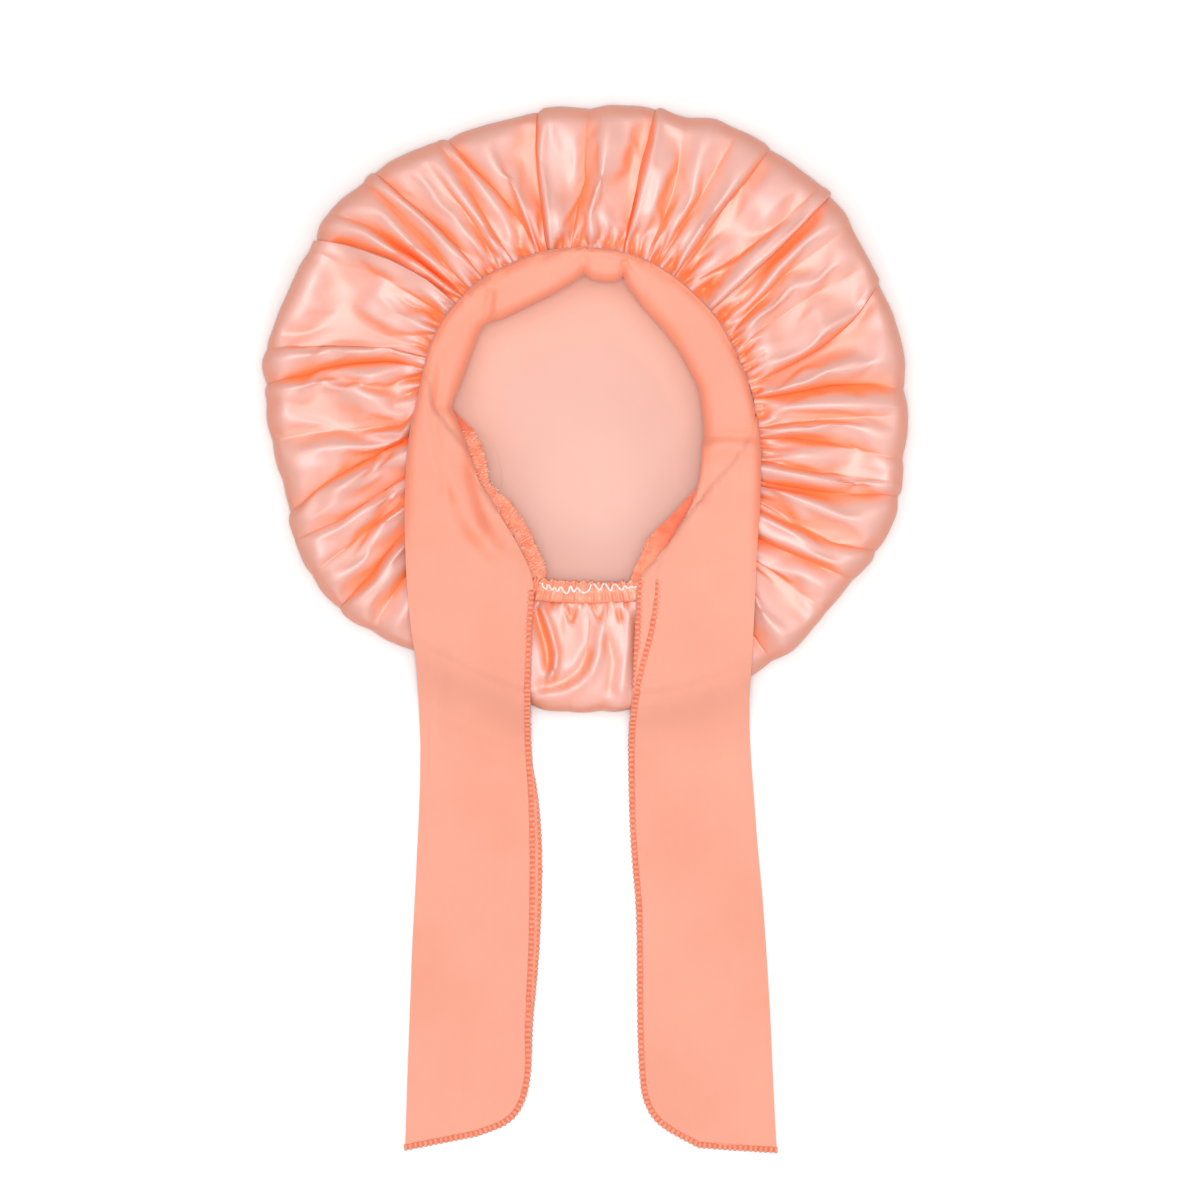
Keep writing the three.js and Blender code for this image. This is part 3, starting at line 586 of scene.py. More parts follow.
# Its two sides seen from above in mm, how far it stands over what it lies on, how much of it rolls
# back under its inner side, and how far its upper and its under layer stop short of the inner side
BAND_SECTIONS = (
    (-99.2, -393.0, -60, -385.3, 0, 0, 0, 0),
    (-99.1, -386.5, -44, -378.5, 0, 0, 0, 0),
    (-98.8, -376, -35.5, -368, 0, 0, 0, 0),
    (-98, -352, -31.5, -350, 0, 0, 0, 0),
    (-97, -325, -30.5, -325, 0.2, 0, 1, 0),
    (-95.4, -284, -27, -284, 0.4, 0, 2.6, 0),
    (-93.2, -240, -25.5, -240, 0.2, 0, 3.4, 0),
    (-91.6, -207, -27, -207, 0.4, 0, 2.4, 0),
    (-91, -176, -31.2, -176, 0.3, 0, 0, 0),
    (-91.8, -148, -31.6, -148, 0, 0, 0, 0),
    (-93, -126, -31.2, -124, 0, 0, 0, 0),
    (-95.6, -106, -30.6, -106, 0.5, 0, 0, 0),
    (-97.3, -84, -30, -85, 1.4, 0, 0, 0),
    (-98.1, -62, -36.5, -67.5, 2.6, 0, 0, 0),
    (-98.1, -42, -48, -48, 4, 0, 0, 0),
    (-97.4, -24, -58.5, -31, 5, 0, 0, 0),
    (-95.6, -6, -65.5, -12, 6, 10, 0, 0),
    (-92.8, 9, -71.2, 3.5, 7, 20, 0, 0),
    (-90.3, 19, -74, 11.2, 7.5, 28, 0, 0),
    (-88, 30, -69.5, 22.5, 7.5, 34, 0, 0),
    (-84, 44.5, -63, 39.5, 8, 38, 0, 0),
    (-77, 57.5, -58.6, 51, 8, 40, 0, 0),
    (-71.5, 64.5, -55.2, 55.4, 8, 40, 0, 0),
    (-62.5, 74.3, -49, 57.6, 8, 40, 0, 0),
    (-52.5, 81.5, -42.5, 60, 8, 42, 0, 0),
    (-37.5, 89, -28.7, 66.9, 8, 42, 0, 0),
    (-22, 94, -15, 73.8, 8, 42, 0, 0),
    (-10.5, 95.2, -6.8, 79.2, 8, 40, 0, 0),
    (-3.5, 95.6, -1.9, 82.8, 8, 37, 0, 0),
    (2.5, 95.4, 2.6, 79.4, 8, 40, 0, 0),
    (11.5, 94.5, 11.4, 78.2, 8, 42, 0, 0),
    (17.5, 93.3, 16.4, 79.4, 8, 40, 0, 0),
    (21.5, 92.3, 19.2, 82, 8, 36, 0, 0),
    (26, 91, 22.5, 74.6, 8, 42, 0, 0),
    (34, 87.7, 29.8, 64.6, 8, 42, 0, 0),
    (47, 79.5, 39, 54.3, 8, 42, 0, 0),
    (59.5, 68.5, 44.5, 47.5, 8, 41, 0, 0),
    (71, 55, 51.5, 37, 8, 40, 0, 0),
    (83, 31, 59.6, 21, 8, 36, 0, 0),
    (87.5, 17, 61.6, 11.5, 7.5, 30, 0, 0),
    (90.5, 4, 63.1, -2.5, 7.5, 26, 0, 0),
    (92.2, -10, 62.2, -12.3, 6.5, 16, 0, 0),
    (92.4, -28, 60.4, -30, 5, 7, 0, 0),
    (92, -46, 52.3, -49, 3.8, 0, 1, 0),
    (91, -62, 40.5, -67, 2.8, 0, 2, 0),
    (90.2, -78, 29, -80, 2, 0, 8.5, 0),
    (89.8, -92, 26.8, -92, 1.4, 0, 9.5, 0),
    (89, -112, 25.8, -112, 0.6, 0, 7, 0),
    (88, -131, 24.8, -131, 0, 0, 3, 0),
    (87.2, -148, 24, -148, 0, 0, 0.5, 0),
    (88, -172, 22.5, -172, 0.3, 0, 0, 0),
    (91.5, -220, 23.5, -220, 0.4, 0, 0, 0),
    (95.5, -266, 26.8, -266, 0.2, 0, 0, 0),
    (98.5, -312, 27.3, -312, 0.4, 0, 0, 0),
    (100.4, -352, 28.4, -350, 0, 0, 0, 0),
    (101.6, -377, 31.5, -368, 0, 0, 0, 0),
    (102.2, -387, 40, -380, 0, 0, 0, 0),
    (102.5, -394.5, 60, -391.6, 0, 0, 0, 0),
)

# Soft folds in the band: the path of each in mm from end to end, its height and its half width
BAND_FOLDS = (
    (((-72, 12), (-70, -8), (-66.5, -26), (-63, -45), (-60, -56)), 2.2, 5.5),
    (((-60, -56), (-50, -68), (-38, -76)), 1.2, 6),
    (((-63.5, -24), (-59.4, -37.3), (-54.5, -49)), -1.3, 3.6),
    (((-79, 38), (-82.7, -1), (-75, -39)), -1.8, 3),
    (((-80, 4), (-77, -22), (-67, -47), (-52, -66)), 2.0, 5),
    (((-86, 30), (-86, 0), (-80, -30)), 1.4, 5),
    (((-55.2, 55.4), (-53.4, 64), (-52.3, 71.5)), 2.0, 1.6),
    (((-49, 60), (-48, 71)), -1.2, 2.6),
    (((-43.7, 71.5), (-36.8, 79.5)), -1.0, 2.8),
    (((-40, 64), (-18, 76)), 0.8, 4),
    (((-1.9, 93), (-1.9, 83)), -1.2, 1.4),
    (((19, 92), (19.2, 82)), -1.4, 1.4),
    (((30, 69), (48, 47)), -0.7, 2.5),
    (((-52, 79), (-37, 86), (-22, 90.6), (-8, 92.2), (12, 91.4), (28, 87.6), (46, 77)), -0.9, 1.1),
    (((63, -5.5), (76, -5), (89, -6)), -1.7, 2.6),
    (((60, -13), (76, -11), (89, -13)), 1.7, 4.5),
    (((64.5, -8), (63.8, -24), (62, -40)), -0.9, 2),
    (((66, -14), (58, -36), (52, -58)), 1.2, 6),
    (((-78, -60), (-80, -120), (-81, -170)), -0.9, 5),
    (((70, -70), (68, -130), (70, -190)), -0.8, 6),
)

# How laid cloth comes down to the table past the crown's outline, as a share of the crest
DRAPE = ((-9, 0.87), (-4, 0.8), (0, 0.7), (5, 0.54), (11, 0.36), (18, 0.2), (27, 0.07), (36, 0.015), (44, 0))


def support(x, y):
    """Height of the surface that the band lies on: the mouth, then the crown, then the table."""
    reach, clock = np.hypot(x, y), np.degrees(np.arctan2(x, y))
    mouth, outline, crest = mouth_at(clock), outline_at(clock), crest_at(clock)
    out = np.clip((reach - mouth) / (outline - mouth), 0, 1)
    top = slice(0, widest)
    on_crown = np.interp(out, out_share[top], np.maximum.accumulate(lift[top][::-1])[::-1]) * crest
    at_mouth = crest * SEWN_LEVEL + 2.2 * MM
    on_crown = np.maximum(on_crown, at_mouth * (out < 0.2))
    past = (reach - outline) / MM
    hanging = np.interp(past, [row[0] for row in DRAPE], [row[1] for row in DRAPE]) * crest
    clear = 0.8 * MM * eased(out / 0.25)
    return np.where(past > -9, hanging, np.where(reach < mouth, at_mouth, on_crown + clear))


def band_section(rise, curl, wide):
    """A section as distances in from the outer side and heights over the support."""
    turned = eased(curl / 14)
    roll = np.clip(curl / 3, 3, 8)
    turn = min(curl / roll, math.pi)
    flat = wide - roll * math.sin(min(turn, math.pi / 2))
    # How far across, then the share of the rise there where it is laid flat and where it rolls in
    tops = ((0, 0, 0), (0.04, 0.45, 0.5), (0.12, 0.85, 0.85), (0.3, 1, 0.98), (0.5, 0.95, 1.02))
    tops += ((0.7, 0.75, 1.0), (0.88, 0.4, 0.95), (1, 0.1, 0.9))
    points = [(across * flat, (laid + (rolled - laid) * turned) * rise) for across, laid, rolled in tops]
    shoulder = points[-1][1]
    for angle in np.linspace(0, turn, 7)[1:] if curl > 0.2 else ():
        points.append((flat + roll * math.sin(angle), shoulder - roll * (1 - math.cos(angle))))
    if curl > math.pi * roll:
        points.append((max(flat - curl + math.pi * roll, 3.5), shoulder - 2 * roll))
    return smooth_path(points, BAND_COLUMNS)


stations = smooth_path(BAND_SECTIONS, BAND_STATIONS, lambda rows: rows[:, :4])


def band_layer(side):
    """The middle of one layer, 1 for the upper and -1 for the under one, and how steep its folds are."""
    grid = []
    for outer_x, outer_y, inner_x, inner_y, rise, curl, upper_short, under_short in stations:
        outer, inner = np.array([outer_x, outer_y]), np.array([inner_x, inner_y])
        wide = float(np.linalg.norm(inner - outer))
        section = band_section(max(rise, 0), curl, wide)
        short = upper_short if side > 0 else under_short
        share = section[:, :1] / wide * (1 - short / wide)
        plan = outer + (inner - outer) * share
        grid.append(np.column_stack([plan, section[:, 1]]))
    grid = np.array(grid)
    x, y, up = grid[..., 0], grid[..., 1], grid[..., 2]
    for path, height, half in BAND_FOLDS:
        up = up + height * np.exp(-((away_from(path, x, y) / half) ** 2)) * (up > -1)
    up = up + 0.35 * slow_waves(x, y, 11, (30, 70))
    x, y = x * MM, y * MM
    z = support(x, y) + up * MM
    middle = np.stack([x, y, np.maximum(z, 0)], axis=-1)
    lengthwise, across = np.gradient(middle, axis=0), np.gradient(middle, axis=1)
    normal = np.cross(across, lengthwise)
    normal /= np.linalg.norm(normal, axis=-1, keepdims=True)
    lifted = middle + np.array([0, 0, LAYER_GAP / 2 + JERSEY_THICKNESS / 2])
    # Painted shade: the steepness of the band's folds and slopes marks where it is painted a deeper orange
    folds = steepness(np.stack([x, y, up * MM], axis=-1))
    return lifted + normal * side * LAYER_GAP / 2, np.clip((folds - 0.02) / 0.35, 0, 0.6)


def jersey_material():
    material, tree, shader = node_material("matte_jersey")
    mottled(tree, shader, (0.775, 0.31, 0.216), (0.82, 0.347, 0.25), 14, detail=5)
    # Painted shade: deeper orange on the band's slopes and folds
    deepened(tree, shader, "slope", (0.95, 0.235, 0.11))
    shader.inputs["Roughness"].default_value = 0.85
    shader.inputs["Sheen Weight"].default_value = 0.25
    shader.inputs["Sheen Roughness"].default_value = 0.5
    place = add_node(tree, "ShaderNodeTexCoord")
    wales = add_node(tree, "ShaderNodeTexWave", Scale=520.0, Distortion=1.2, Detail=2)
    fuzz = add_node(tree, "ShaderNodeTexNoise", Scale=900.0, Detail=3)
    both = add_node(tree, "ShaderNodeMath", operation="ADD")
    tree.links.new(place.outputs["Object"], wales.inputs["Vector"])
    tree.links.new(place.outputs["Object"], fuzz.inputs["Vector"])
    tree.links.new(wales.outputs["Fac"], both.inputs[0])
    tree.links.new(fuzz.outputs["Fac"], both.inputs[1])
    relief(tree, shader, both.outputs["Value"], 0.25, 0.0003)
    return material


(upper_layer, upper_slope_shade), (under_layer, under_slope_shade) = band_layer(1), band_layer(-1)
under_layer[..., 2] = np.maximum(under_layer[..., 2], JERSEY_THICKNESS / 2 + 0.0001)
band_xyz = np.concatenate([upper_layer, under_layer[:, ::-1]], axis=1)
painted_slope_shade = np.concatenate([upper_slope_shade, under_slope_shade[:, ::-1]], axis=1)
band = grid_mesh("jersey_tie_band", band_xyz[::-1], wrap_columns=True, marks={"slope": painted_slope_shade[::-1]})
band.data.materials.append(jersey_material())
thicken(band, JERSEY_THICKNESS, 0)
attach(band, "root")
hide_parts("tie_band")

# The band seam. The crown's gathered edge and the band's two raw edges, trimmed and overlocked together.
# It hangs down under the band's roll at the front and points into the opening towards the nape.

SEAM_COLUMNS = 620
SEAM_ROWS = 12
SEAM_HALF_THICKNESS = 0.6 * MM
SEAM_WIDTH = 6.5

# Clock angle, where its free edge and its sewn edge lie in mm, how far it hangs down, how rough it is
BAND_SEAM = (
    (-165, 83, 94, 0, 0.8), (-158, 71, 89, 0, 1), (-148.5, 62.6, 80, 0, 1), (-140, 59.6, 76, 0, 1),
    (-133, 57.8, 74, 0, 1), (-125, 60.8, 73, 0, 1), (-118, 61.5, 72, 0, 1), (-112, 58.6, 71.5, 0, 1),
    (-106, 57.8, 71, 0, 1), (-99, 58.8, 72, 0, 1), (-92, 61.5, 75, 0.1, 0.2), (-84, 72, 83, 0.5, 0.2),
    (-74, 88, 90, 1, 0.2), (-50, 93, 93.5, 1, 0.2), (0, 92, 92.5, 1, 0.2), (40, 87, 87.5, 1, 0.2),
    (60, 84.5, 85, 1, 0.2), (90, 86, 87, 1, 0.2), (106, 77, 79, 0.9, 0.2), (114, 70.5, 76, 0.4, 0.2),
    (120, 67.4, 76, 0, 0.15), (128, 65.6, 80, 0, 0.15), (139, 65.8, 84, 0, 0.15),
    (146, 66.5, 87, 0, 0.3), (152, 68.4, 89, 0, 0.8), (158, 75, 91, 0, 0.9), (165, 86, 94, 0, 0.8),
)  # fmt: skip


def seam_points():
    """Its middle as a grid, its clock angles, and where its smooth stretches are painted in shade."""
    clock = np.linspace(-164, 164, SEAM_COLUMNS)[:, None]
    free, sewn, hang, rough = (
        ring_profile([(row[0], row[column]) for row in BAND_SEAM], 1.2)(clock) for column in (1, 2, 3, 4)
    )
    across = np.linspace(0, 1, SEAM_ROWS)[None]
    reach = (sewn + (free - sewn) * across) * MM
    level = crest_at(clock) * SEWN_LEVEL + (1.7 - 0.7 * across) * MM
    height = level - hang * across * SEAM_WIDTH * MM
    angle = np.radians(clock)
    x, y = reach * np.sin(angle), reach * np.cos(angle)
    tangle = slow_waves(x, y, 21, (0.002, 0.005), 16) * 0.3 * MM
    tangle = tangle + slow_waves(x, y, 22, (0.012, 0.03)) * 0.4 * MM
    fray = slow_waves(angle * 0.07, reach * 0, 23, (0.002, 0.006), 12) * 0.55 * MM * across**2
    reach = reach - fray * rough
    points = np.stack([reach * np.sin(angle), reach * np.cos(angle), height + tangle * rough], axis=-1)
    # Painted shade: the seam is coloured deeper where it lies smooth under the band, most at its sewn edge
    # beneath the band's lip
    plain = np.clip((0.6 - rough) / 0.4, 0, 1) * (0.45 + 0.55 * (1 - across))
    return points, clock[:, 0], plain


def terry_material():
    material, tree, shader = node_material("overlocked_edge")
    mottled(tree, shader, (0.82, 0.17, 0.075), (0.90, 0.34, 0.21), 160, detail=6)
    # Painted shade on the seam's smooth stretches
    deepened(tree, shader, "plain", (0.84, 0.10, 0.035))
    shader.inputs["Roughness"].default_value = 0.8
    shader.inputs["Sheen Weight"].default_value = 0.3
    place = add_node(tree, "ShaderNodeTexCoord")
    loops = add_node(tree, "ShaderNodeTexVoronoi", Scale=900.0)
    tree.links.new(place.outputs["Object"], loops.inputs["Vector"])
    relief(tree, shader, loops.outputs["Distance"], 0.8, 0.0005)
    return material


def closed_sheet(name, points, half_thickness, marks):
    """A closed piece from the middle of a cloth and half its thickness."""
    run, across = np.gradient(points, axis=0), np.gradient(points, axis=1)
    normal = np.cross(run, across)
    normal /= np.linalg.norm(normal, axis=-1, keepdims=True) + 1e-12
    normal *= np.where(normal[..., 2:] < 0, -1, 1)
    upper, lower = points + normal * half_thickness, points - normal * half_thickness
    around = np.concatenate([upper, lower[:, ::-1]], axis=1)[::-1]
    both = {mark: np.concatenate([values, values[:, ::-1]], axis=1)[::-1] for mark, values in marks.items()}
    piece = grid_mesh(name, around, wrap_columns=True, marks=both)
    crisp_edges(piece)
    return piece


seam_xyz, seam_clock, seam_painted_shade = seam_points()
band_seam = closed_sheet("overlocked_band_seam", seam_xyz, SEAM_HALF_THICKNESS, {"plain": seam_painted_shade})
band_seam.data.materials.append(terry_material())
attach(band_seam, "root")
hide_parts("band_seam")

# The nape casing. The crown's own edge between the ties, turned over a narrow elastic that draws it in,
# with a small frill on the side of the opening.

CASING_COLUMNS = 420
CASING_LEVEL = 0.84  # its height, as a share of the crest
CASING_REACH = 92.9  # from the middle of the opening, in mm
FRILL_REACH = 82.8  # to the frill's free edge, in mm

# Round its section: across towards the ties' side, up, and how loosely it puckers
CASING_SECTION = (
    (-3.2, 0.9, 0), (-5.4, 1.3, 0.2), (-7.4, 2.4, 1), (-8.6, 3.0, 1.3), (-9.2, 2.7, 1.3), (-8.3, 1.6, 1),
    (-6.8, 0.3, 0.3), (-5.6, -0.9, 0.1), (-3.4, -1.3, 0), (-0.8, -1.2, 0.1), (1.6, -0.9, 0.2), (2.6, 0, 0.3),
    (1.8, 1.1, 0.5), (0.2, 1.7, 0.8), (-1.6, 1.5, 0.6),
)  # fmt: skip


def casing_points():
    clock = np.linspace(160.8, 199.8, CASING_COLUMNS)[:, None]
    section = np.asarray(CASING_SECTION + CASING_SECTION[:1], float)
    section = smooth_path(section, 29)[:-1]
    across, up, loose = section.T
    angle = np.radians(clock)
    middle = -(CASING_REACH - 1.4 * ((clock - 180) / 18) ** 2) * MM / np.cos(angle)
    arc = angle * 0.09
    puckers = slow_waves(arc, arc * 0, 31, (0.0032, 0.0048), 5)
    small = slow_waves(arc, arc * 0, 32, (0.0017, 0.0028), 5)
    frill = slow_waves(arc, arc * 0, 33, (0.004, 0.006), 4)
    reach = middle + (across + 0.7 * frill * loose * (across < -5)) * MM
    over = 1.4 + up + (0.75 * puckers + 0.35 * small) * (0.3 + loose)
    height = crest_at(clock) * CASING_LEVEL + over * MM
    return np.stack([reach * np.sin(angle), reach * np.cos(angle), height], axis=-1)


casing = grid_mesh("nape_casing", casing_points(), wrap_columns=True)
casing.data.materials.append(
    satin_material("gathered_casing_satin", (0.90, 0.25, 0.12), (0.92, 0.38, 0.26), 0.45, 0.9, 1.6)
)
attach(casing, "root")
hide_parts("nape_elastic")

# The threads. Overlock stitches along the ties' raw edges and ends and along the band seam, the white
# zigzag that holds the nape elastic, and three loose ends of thread.

STITCH_PITCH = 2.8 * MM
STITCH_WIDTH = 2.9 * MM
LOOP_PITCH = 1.5 * MM  # of the closer loops along the band seam
LEFT_CORNER = -86 * MM  # where each tie's raw edge comes up to the nape
RIGHT_CORNER = -81 * MM

# The zigzag's turns: how far across, and how far from the frill towards the nape, in mm
ZIGZAG = (
    (-26.0, 2.0), (-24.8, 0.6), (-24.4, 3.4), (-22.4, 4.9), (-21.6, 2.2), (-19.6, 5.4), (-18.0, 4.2),
    (-16.4, 6.0), (-14.6, 3.9), (-12.2, 7.2), (-10.6, 6.6), (-9.4, 3.4), (-7.8, 6.4), (-5.8, 4.4),
    (-4.0, 6.2), (-1.8, 7.0), (0.6, 5.6), (1.6, 3.2), (3.0, 2.0), (5.2, 4.6), (6.8, 5.4), (8.0, 2.6),
    (9.6, 2.2), (11.4, 5.2), (12.6, 5.6), (13.6, 2.8), (15.2, 2.6), (17.4, 5.0), (18.6, 5.4),
    (20.0, 3.2), (21.6, 4.6), (23.4, 3.6), (25.2, 4.2), (27.0, 2.2),
)  # fmt: skip


def thread_mesh(name, paths, radius, sides, flatness=1.0):
    """Threads along open paths of points, round or lying flat."""
    vertices, faces = [], []
    turn = np.linspace(0, 2 * math.pi, sides, endpoint=False)
    for path in paths:
        path = np.asarray(path, float)
        heading = np.gradient(path, axis=0)
        heading /= np.linalg.norm(heading, axis=1, keepdims=True) + 1e-12
        side = np.cross(heading, np.array([0.05, 0.03, 1.0]))
        side /= np.linalg.norm(side, axis=1, keepdims=True) + 1e-12
        rise = np.cross(side, heading) * flatness
        ring = path[:, None] + radius * (
            np.cos(turn)[None, :, None] * side[:, None] + np.sin(turn)[None, :, None] * rise[:, None]
        )
        first = len(vertices)
        vertices.extend(ring.reshape(-1, 3).tolist())
        for step in range(len(path) - 1):
            for corner in range(sides):
                a = first + step * sides + corner
                b = first + step * sides + (corner + 1) % sides
                faces.append((a, b, b + sides, a + sides))
        faces.append(tuple(first + corner for corner in range(sides))[::-1])
        faces.append(tuple(first + (len(path) - 1) * sides + corner for corner in range(sides)))
    mesh = bpy.data.meshes.new(name)
    mesh.from_pydata(vertices, [], faces)
    mesh.polygons.foreach_set("use_smooth", [True] * len(mesh.polygons))
    piece = bpy.data.objects.new(name, mesh)
    bpy.context.collection.objects.link(piece)
    return piece


def even_steps(path, pitch):
    """The path again, with points a pitch apart."""
    along = np.concatenate([[0], np.cumsum(np.linalg.norm(np.diff(path, axis=0), axis=1))])
    places = np.arange(0, along[-1], pitch)
    return np.stack([np.interp(places, along, path[:, axis]) for axis in range(3)], axis=1)


def beside(path, inward, distance, up):
    """The path again, moved in over the cloth and up."""
    path = np.asarray(path, float)
    heading = np.gradient(path, axis=0)
    heading /= np.linalg.norm(heading[:, :2], axis=1, keepdims=True) + 1e-12
    into = inward * np.stack([-heading[:, 1], heading[:, 0], 0 * heading[:, 0]], axis=1)
    return path + into * distance + np.array([0, 0, up])


def stitches_over(edge, inward, up, jitter, seed, pitch=STITCH_PITCH):
    """Short threads side by side that go over an edge and in across the cloth."""
    wander = np.random.default_rng(seed)
    places = even_steps(np.asarray(edge, float), pitch)
    corners = (
        (-0.5 * MM, -0.3 * MM),
        (0.1 * MM, up),
        (STITCH_WIDTH * 0.55, up + 0.22 * MM),
        (STITCH_WIDTH, up),
    )
    rungs = np.stack([beside(places, inward, across, over) for across, over in corners], axis=1)
    loose = wander.normal(size=(len(rungs), 1, 3)) * jitter * MM
    bend = wander.normal(size=rungs.shape) * jitter * 0.6 * MM
    return list(rungs + loose + bend)


def thread_material(name, dark, light):
    material, tree, shader = node_material(name)
    mottled(tree, shader, dark, light, 300)
    shader.inputs["Roughness"].default_value = 0.55
    shader.inputs["Sheen Weight"].default_value = 0.3
    place = add_node(tree, "ShaderNodeTexCoord")
    plies = add_node(tree, "ShaderNodeTexWave", Scale=1500.0, Distortion=1.0)
    tree.links.new(place.outputs["Object"], plies.inputs["Vector"])
    relief(tree, shader, plies.outputs["Fac"], 0.4, 0.0002)
    return material


def tie_edge(layer, end, corner):
    """A tie's raw edge, from the outer corner of its end to where it meets the nape."""
    rows = range(0, BAND_STATIONS) if end == 0 else range(BAND_STATIONS - 1, -1, -1)
    path = [layer[end, column] for column in range(0, BAND_COLUMNS)]
    for row in list(rows)[1:]:
        if layer[row, -1, 1] > corner:
            break
        path.append(layer[row, -1])
    return path


def between(path, low, high):
    return [point for point in path if low * MM < point[1] < high * MM]


left_edge = tie_edge(upper_layer, 0, LEFT_CORNER)
right_edge = tie_edge(upper_layer, -1, RIGHT_CORNER)
under_left = between(tie_edge(under_layer, 0, LEFT_CORNER)[BAND_COLUMNS:], -340, -190)
under_right = between(tie_edge(under_layer, -1, RIGHT_CORNER)[BAND_COLUMNS:], -142, -81)
on_jersey = JERSEY_THICKNESS / 2
tie_edges = ((left_edge, 1), (right_edge, -1), (under_left, 1), (under_right, -1))
# A deep orange strip under the stitches: partly their dense thread, partly painted shade between the loops
bed_lines = [
    beside(even_steps(np.asarray(edge), 1.5 * MM), side, 1.3 * MM, on_jersey) for edge, side in tie_edges
]
thread_and_shade_bed = thread_mesh("overlock_bed", bed_lines, 1.45 * MM, 8, flatness=0.25)
thread_and_shade_bed.data.materials.append(thread_material("deep_orange_thread_and_shade", (0.82, 0.14, 0.055), (0.88, 0.19, 0.085)))
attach(thread_and_shade_bed, "root")

rungs = []
for number, (edge, side) in enumerate(tie_edges):
    rungs += stitches_over(edge, side, on_jersey + 0.25 * MM, 0.05, number)
stitches = thread_mesh("overlock_stitches", rungs, 0.75 * MM, 8, flatness=0.45)
stitches.data.materials.append(thread_material("peach_thread", (0.86, 0.27, 0.15), (0.93, 0.36, 0.23)))
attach(stitches, "root")

left_seam = (seam_clock < -92) & (seam_clock > -162)
right_seam = (seam_clock > 122) & (seam_clock < 162)
over_seam = SEAM_HALF_THICKNESS + 0.25 * MM
loops = stitches_over(seam_xyz[left_seam, -3], -1, over_seam, 0.5, 5, LOOP_PITCH)
loops += stitches_over(seam_xyz[left_seam, SEAM_ROWS // 2], -1, over_seam, 0.7, 6, 2.2 * MM)
loops += stitches_over(seam_xyz[left_seam, 4], -1, over_seam, 0.6, 7, LOOP_PITCH)
loops += stitches_over(seam_xyz[right_seam, SEAM_ROWS // 2 - 1], 1, over_seam, 0.25, 8)
seam_loops = thread_mesh("seam_loops", loops, 0.3 * MM, 5)
loop_thread = thread_material("pale_orange_thread", (0.90, 0.40, 0.26), (0.96, 0.56, 0.42))
seam_loops.data.materials.append(loop_thread)
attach(seam_loops, "root")

zigzag_line = []
for across, onward in smooth_path([(*row, 0) for row in ZIGZAG], 400)[:, :2]:
    height = crest_at(180.0) * CASING_LEVEL + (1.4 + 2.2 + 0.5 * math.sin(across * 1.9)) * MM
    zigzag_line.append((across * MM, (-FRILL_REACH - onward) * MM, float(height) + 0.9 * MM))
zigzag = thread_mesh("white_zigzag", [zigzag_line], 0.55 * MM, 8)
zigzag.data.materials.append(thread_material("white_thread", (0.90, 0.76, 0.71), (0.97, 0.90, 0.87)))
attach(zigzag, "root")

# Where each loose end runs in mm, from where it leaves the seam, with heights over the seam
LOOSE_ENDS = (
    (
        (-62, -5.5, 2.0), (-59, -6, 2.4), (-55, -9, 1), (-51, -13, -2),
        (-48, -19, -6), (-46.5, -26, -9), (-47, -32, -11),
    ),
    ((-59, -13, 2.0), (-57.5, -19, 1.5), (-58.5, -24, 1.2), (-60, -27, 1.6)),
    ((28.8, -67.6, 2.2), (30.4, -64.8, 2.6), (31.6, -66.6, 2.4), (32.4, -62.6, 2.6), (33.6, -64.2, 2.2)),
)  # fmt: skip
seam_level = float(crest_at(-110.0)) * SEWN_LEVEL / MM
curls = [smooth_path([(x, y, seam_level + up) for x, y, up in curl], 24) * MM for curl in LOOSE_ENDS]
loose = thread_mesh("loose_thread_ends", curls, 0.14 * MM, 5)
loose.data.materials.append(thread_material("pale_thread", (0.88, 0.45, 0.33), (0.93, 0.55, 0.43)))
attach(loose, "root")

# The picture. The bonnet lies on plain pale paper, with soft lights over it and beside it, and the camera
# looks straight down on it from three metres.

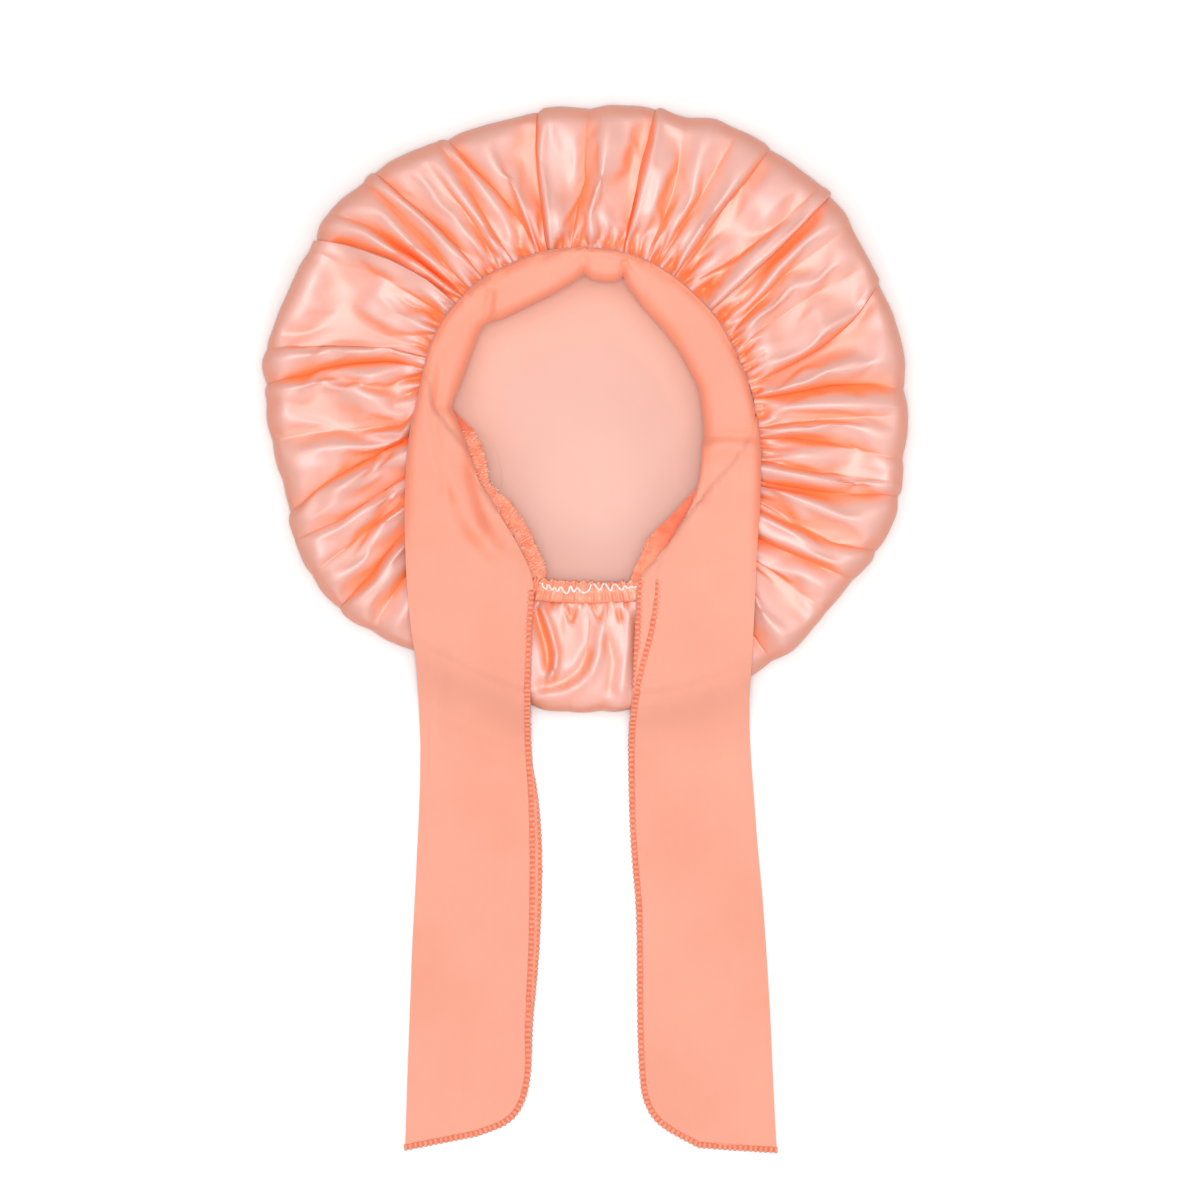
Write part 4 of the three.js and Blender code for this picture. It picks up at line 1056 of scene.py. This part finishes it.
FLOOR_SIZE = 4
CAMERA_HEIGHT = 3.0
SENSOR_WIDTH = 36
PICTURE_WIDTH = 0.654
PICTURE_MIDDLE = (0.00654, -0.0937)

bpy.ops.mesh.primitive_plane_add(size=FLOOR_SIZE, location=(0, -0.09, -0.0002))
floor = bpy.context.object
floor.name = "floor"
floor_material, floor_tree, floor_shader = node_material("pale_paper")
mottled(floor_tree, floor_shader, (0.86, 0.86, 0.86), (0.88, 0.88, 0.88), 3)
floor_shader.inputs["Roughness"].default_value = 0.9
floor.data.materials.append(floor_material)


def soft_light(name, place, aim, size, power):
    light = bpy.data.lights.new(name, "AREA")
    light.shape = "DISK"
    light.size = size
    light.energy = power
    lamp = bpy.data.objects.new(name, light)
    lamp.location = place
    lamp.rotation_euler = (Vector(aim) - Vector(place)).to_track_quat("-Z", "Y").to_euler()
    lamp.visible_camera = False
    bpy.context.collection.objects.link(lamp)


soft_light("overhead_softbox", (0.0, 0.05, 2.2), (0, -0.05, 0), 1.9, 27.5)
soft_light("ring_light", (0.0, -0.09, 2.9), (0, -0.09, 0), 0.5, 27.5)
soft_light("nape_softbox", (0.0, -2.0, 1.5), (0, -0.05, 0), 1.0, 8.5)
soft_light("left_softbox", (-1.8, 0.3, 1.6), (0, -0.05, 0), 0.9, 4)
soft_light("right_softbox", (1.8, 0.3, 1.6), (0, -0.05, 0), 0.9, 4)

world = bpy.data.worlds.new("studio")
world.use_nodes = True
world.node_tree.nodes["Background"].inputs["Color"].default_value = (1, 0.99, 0.98, 1)
world.node_tree.nodes["Background"].inputs["Strength"].default_value = 0.3
bpy.context.scene.world = world
bpy.context.scene.view_settings.view_transform = "Standard"

camera_data = bpy.data.cameras.new("camera")
camera_data.sensor_width = SENSOR_WIDTH
camera_data.lens = SENSOR_WIDTH * CAMERA_HEIGHT / PICTURE_WIDTH
camera = bpy.data.objects.new("camera", camera_data)
camera.location = (*PICTURE_MIDDLE, CAMERA_HEIGHT)
bpy.context.collection.objects.link(camera)
bpy.context.scene.camera = camera
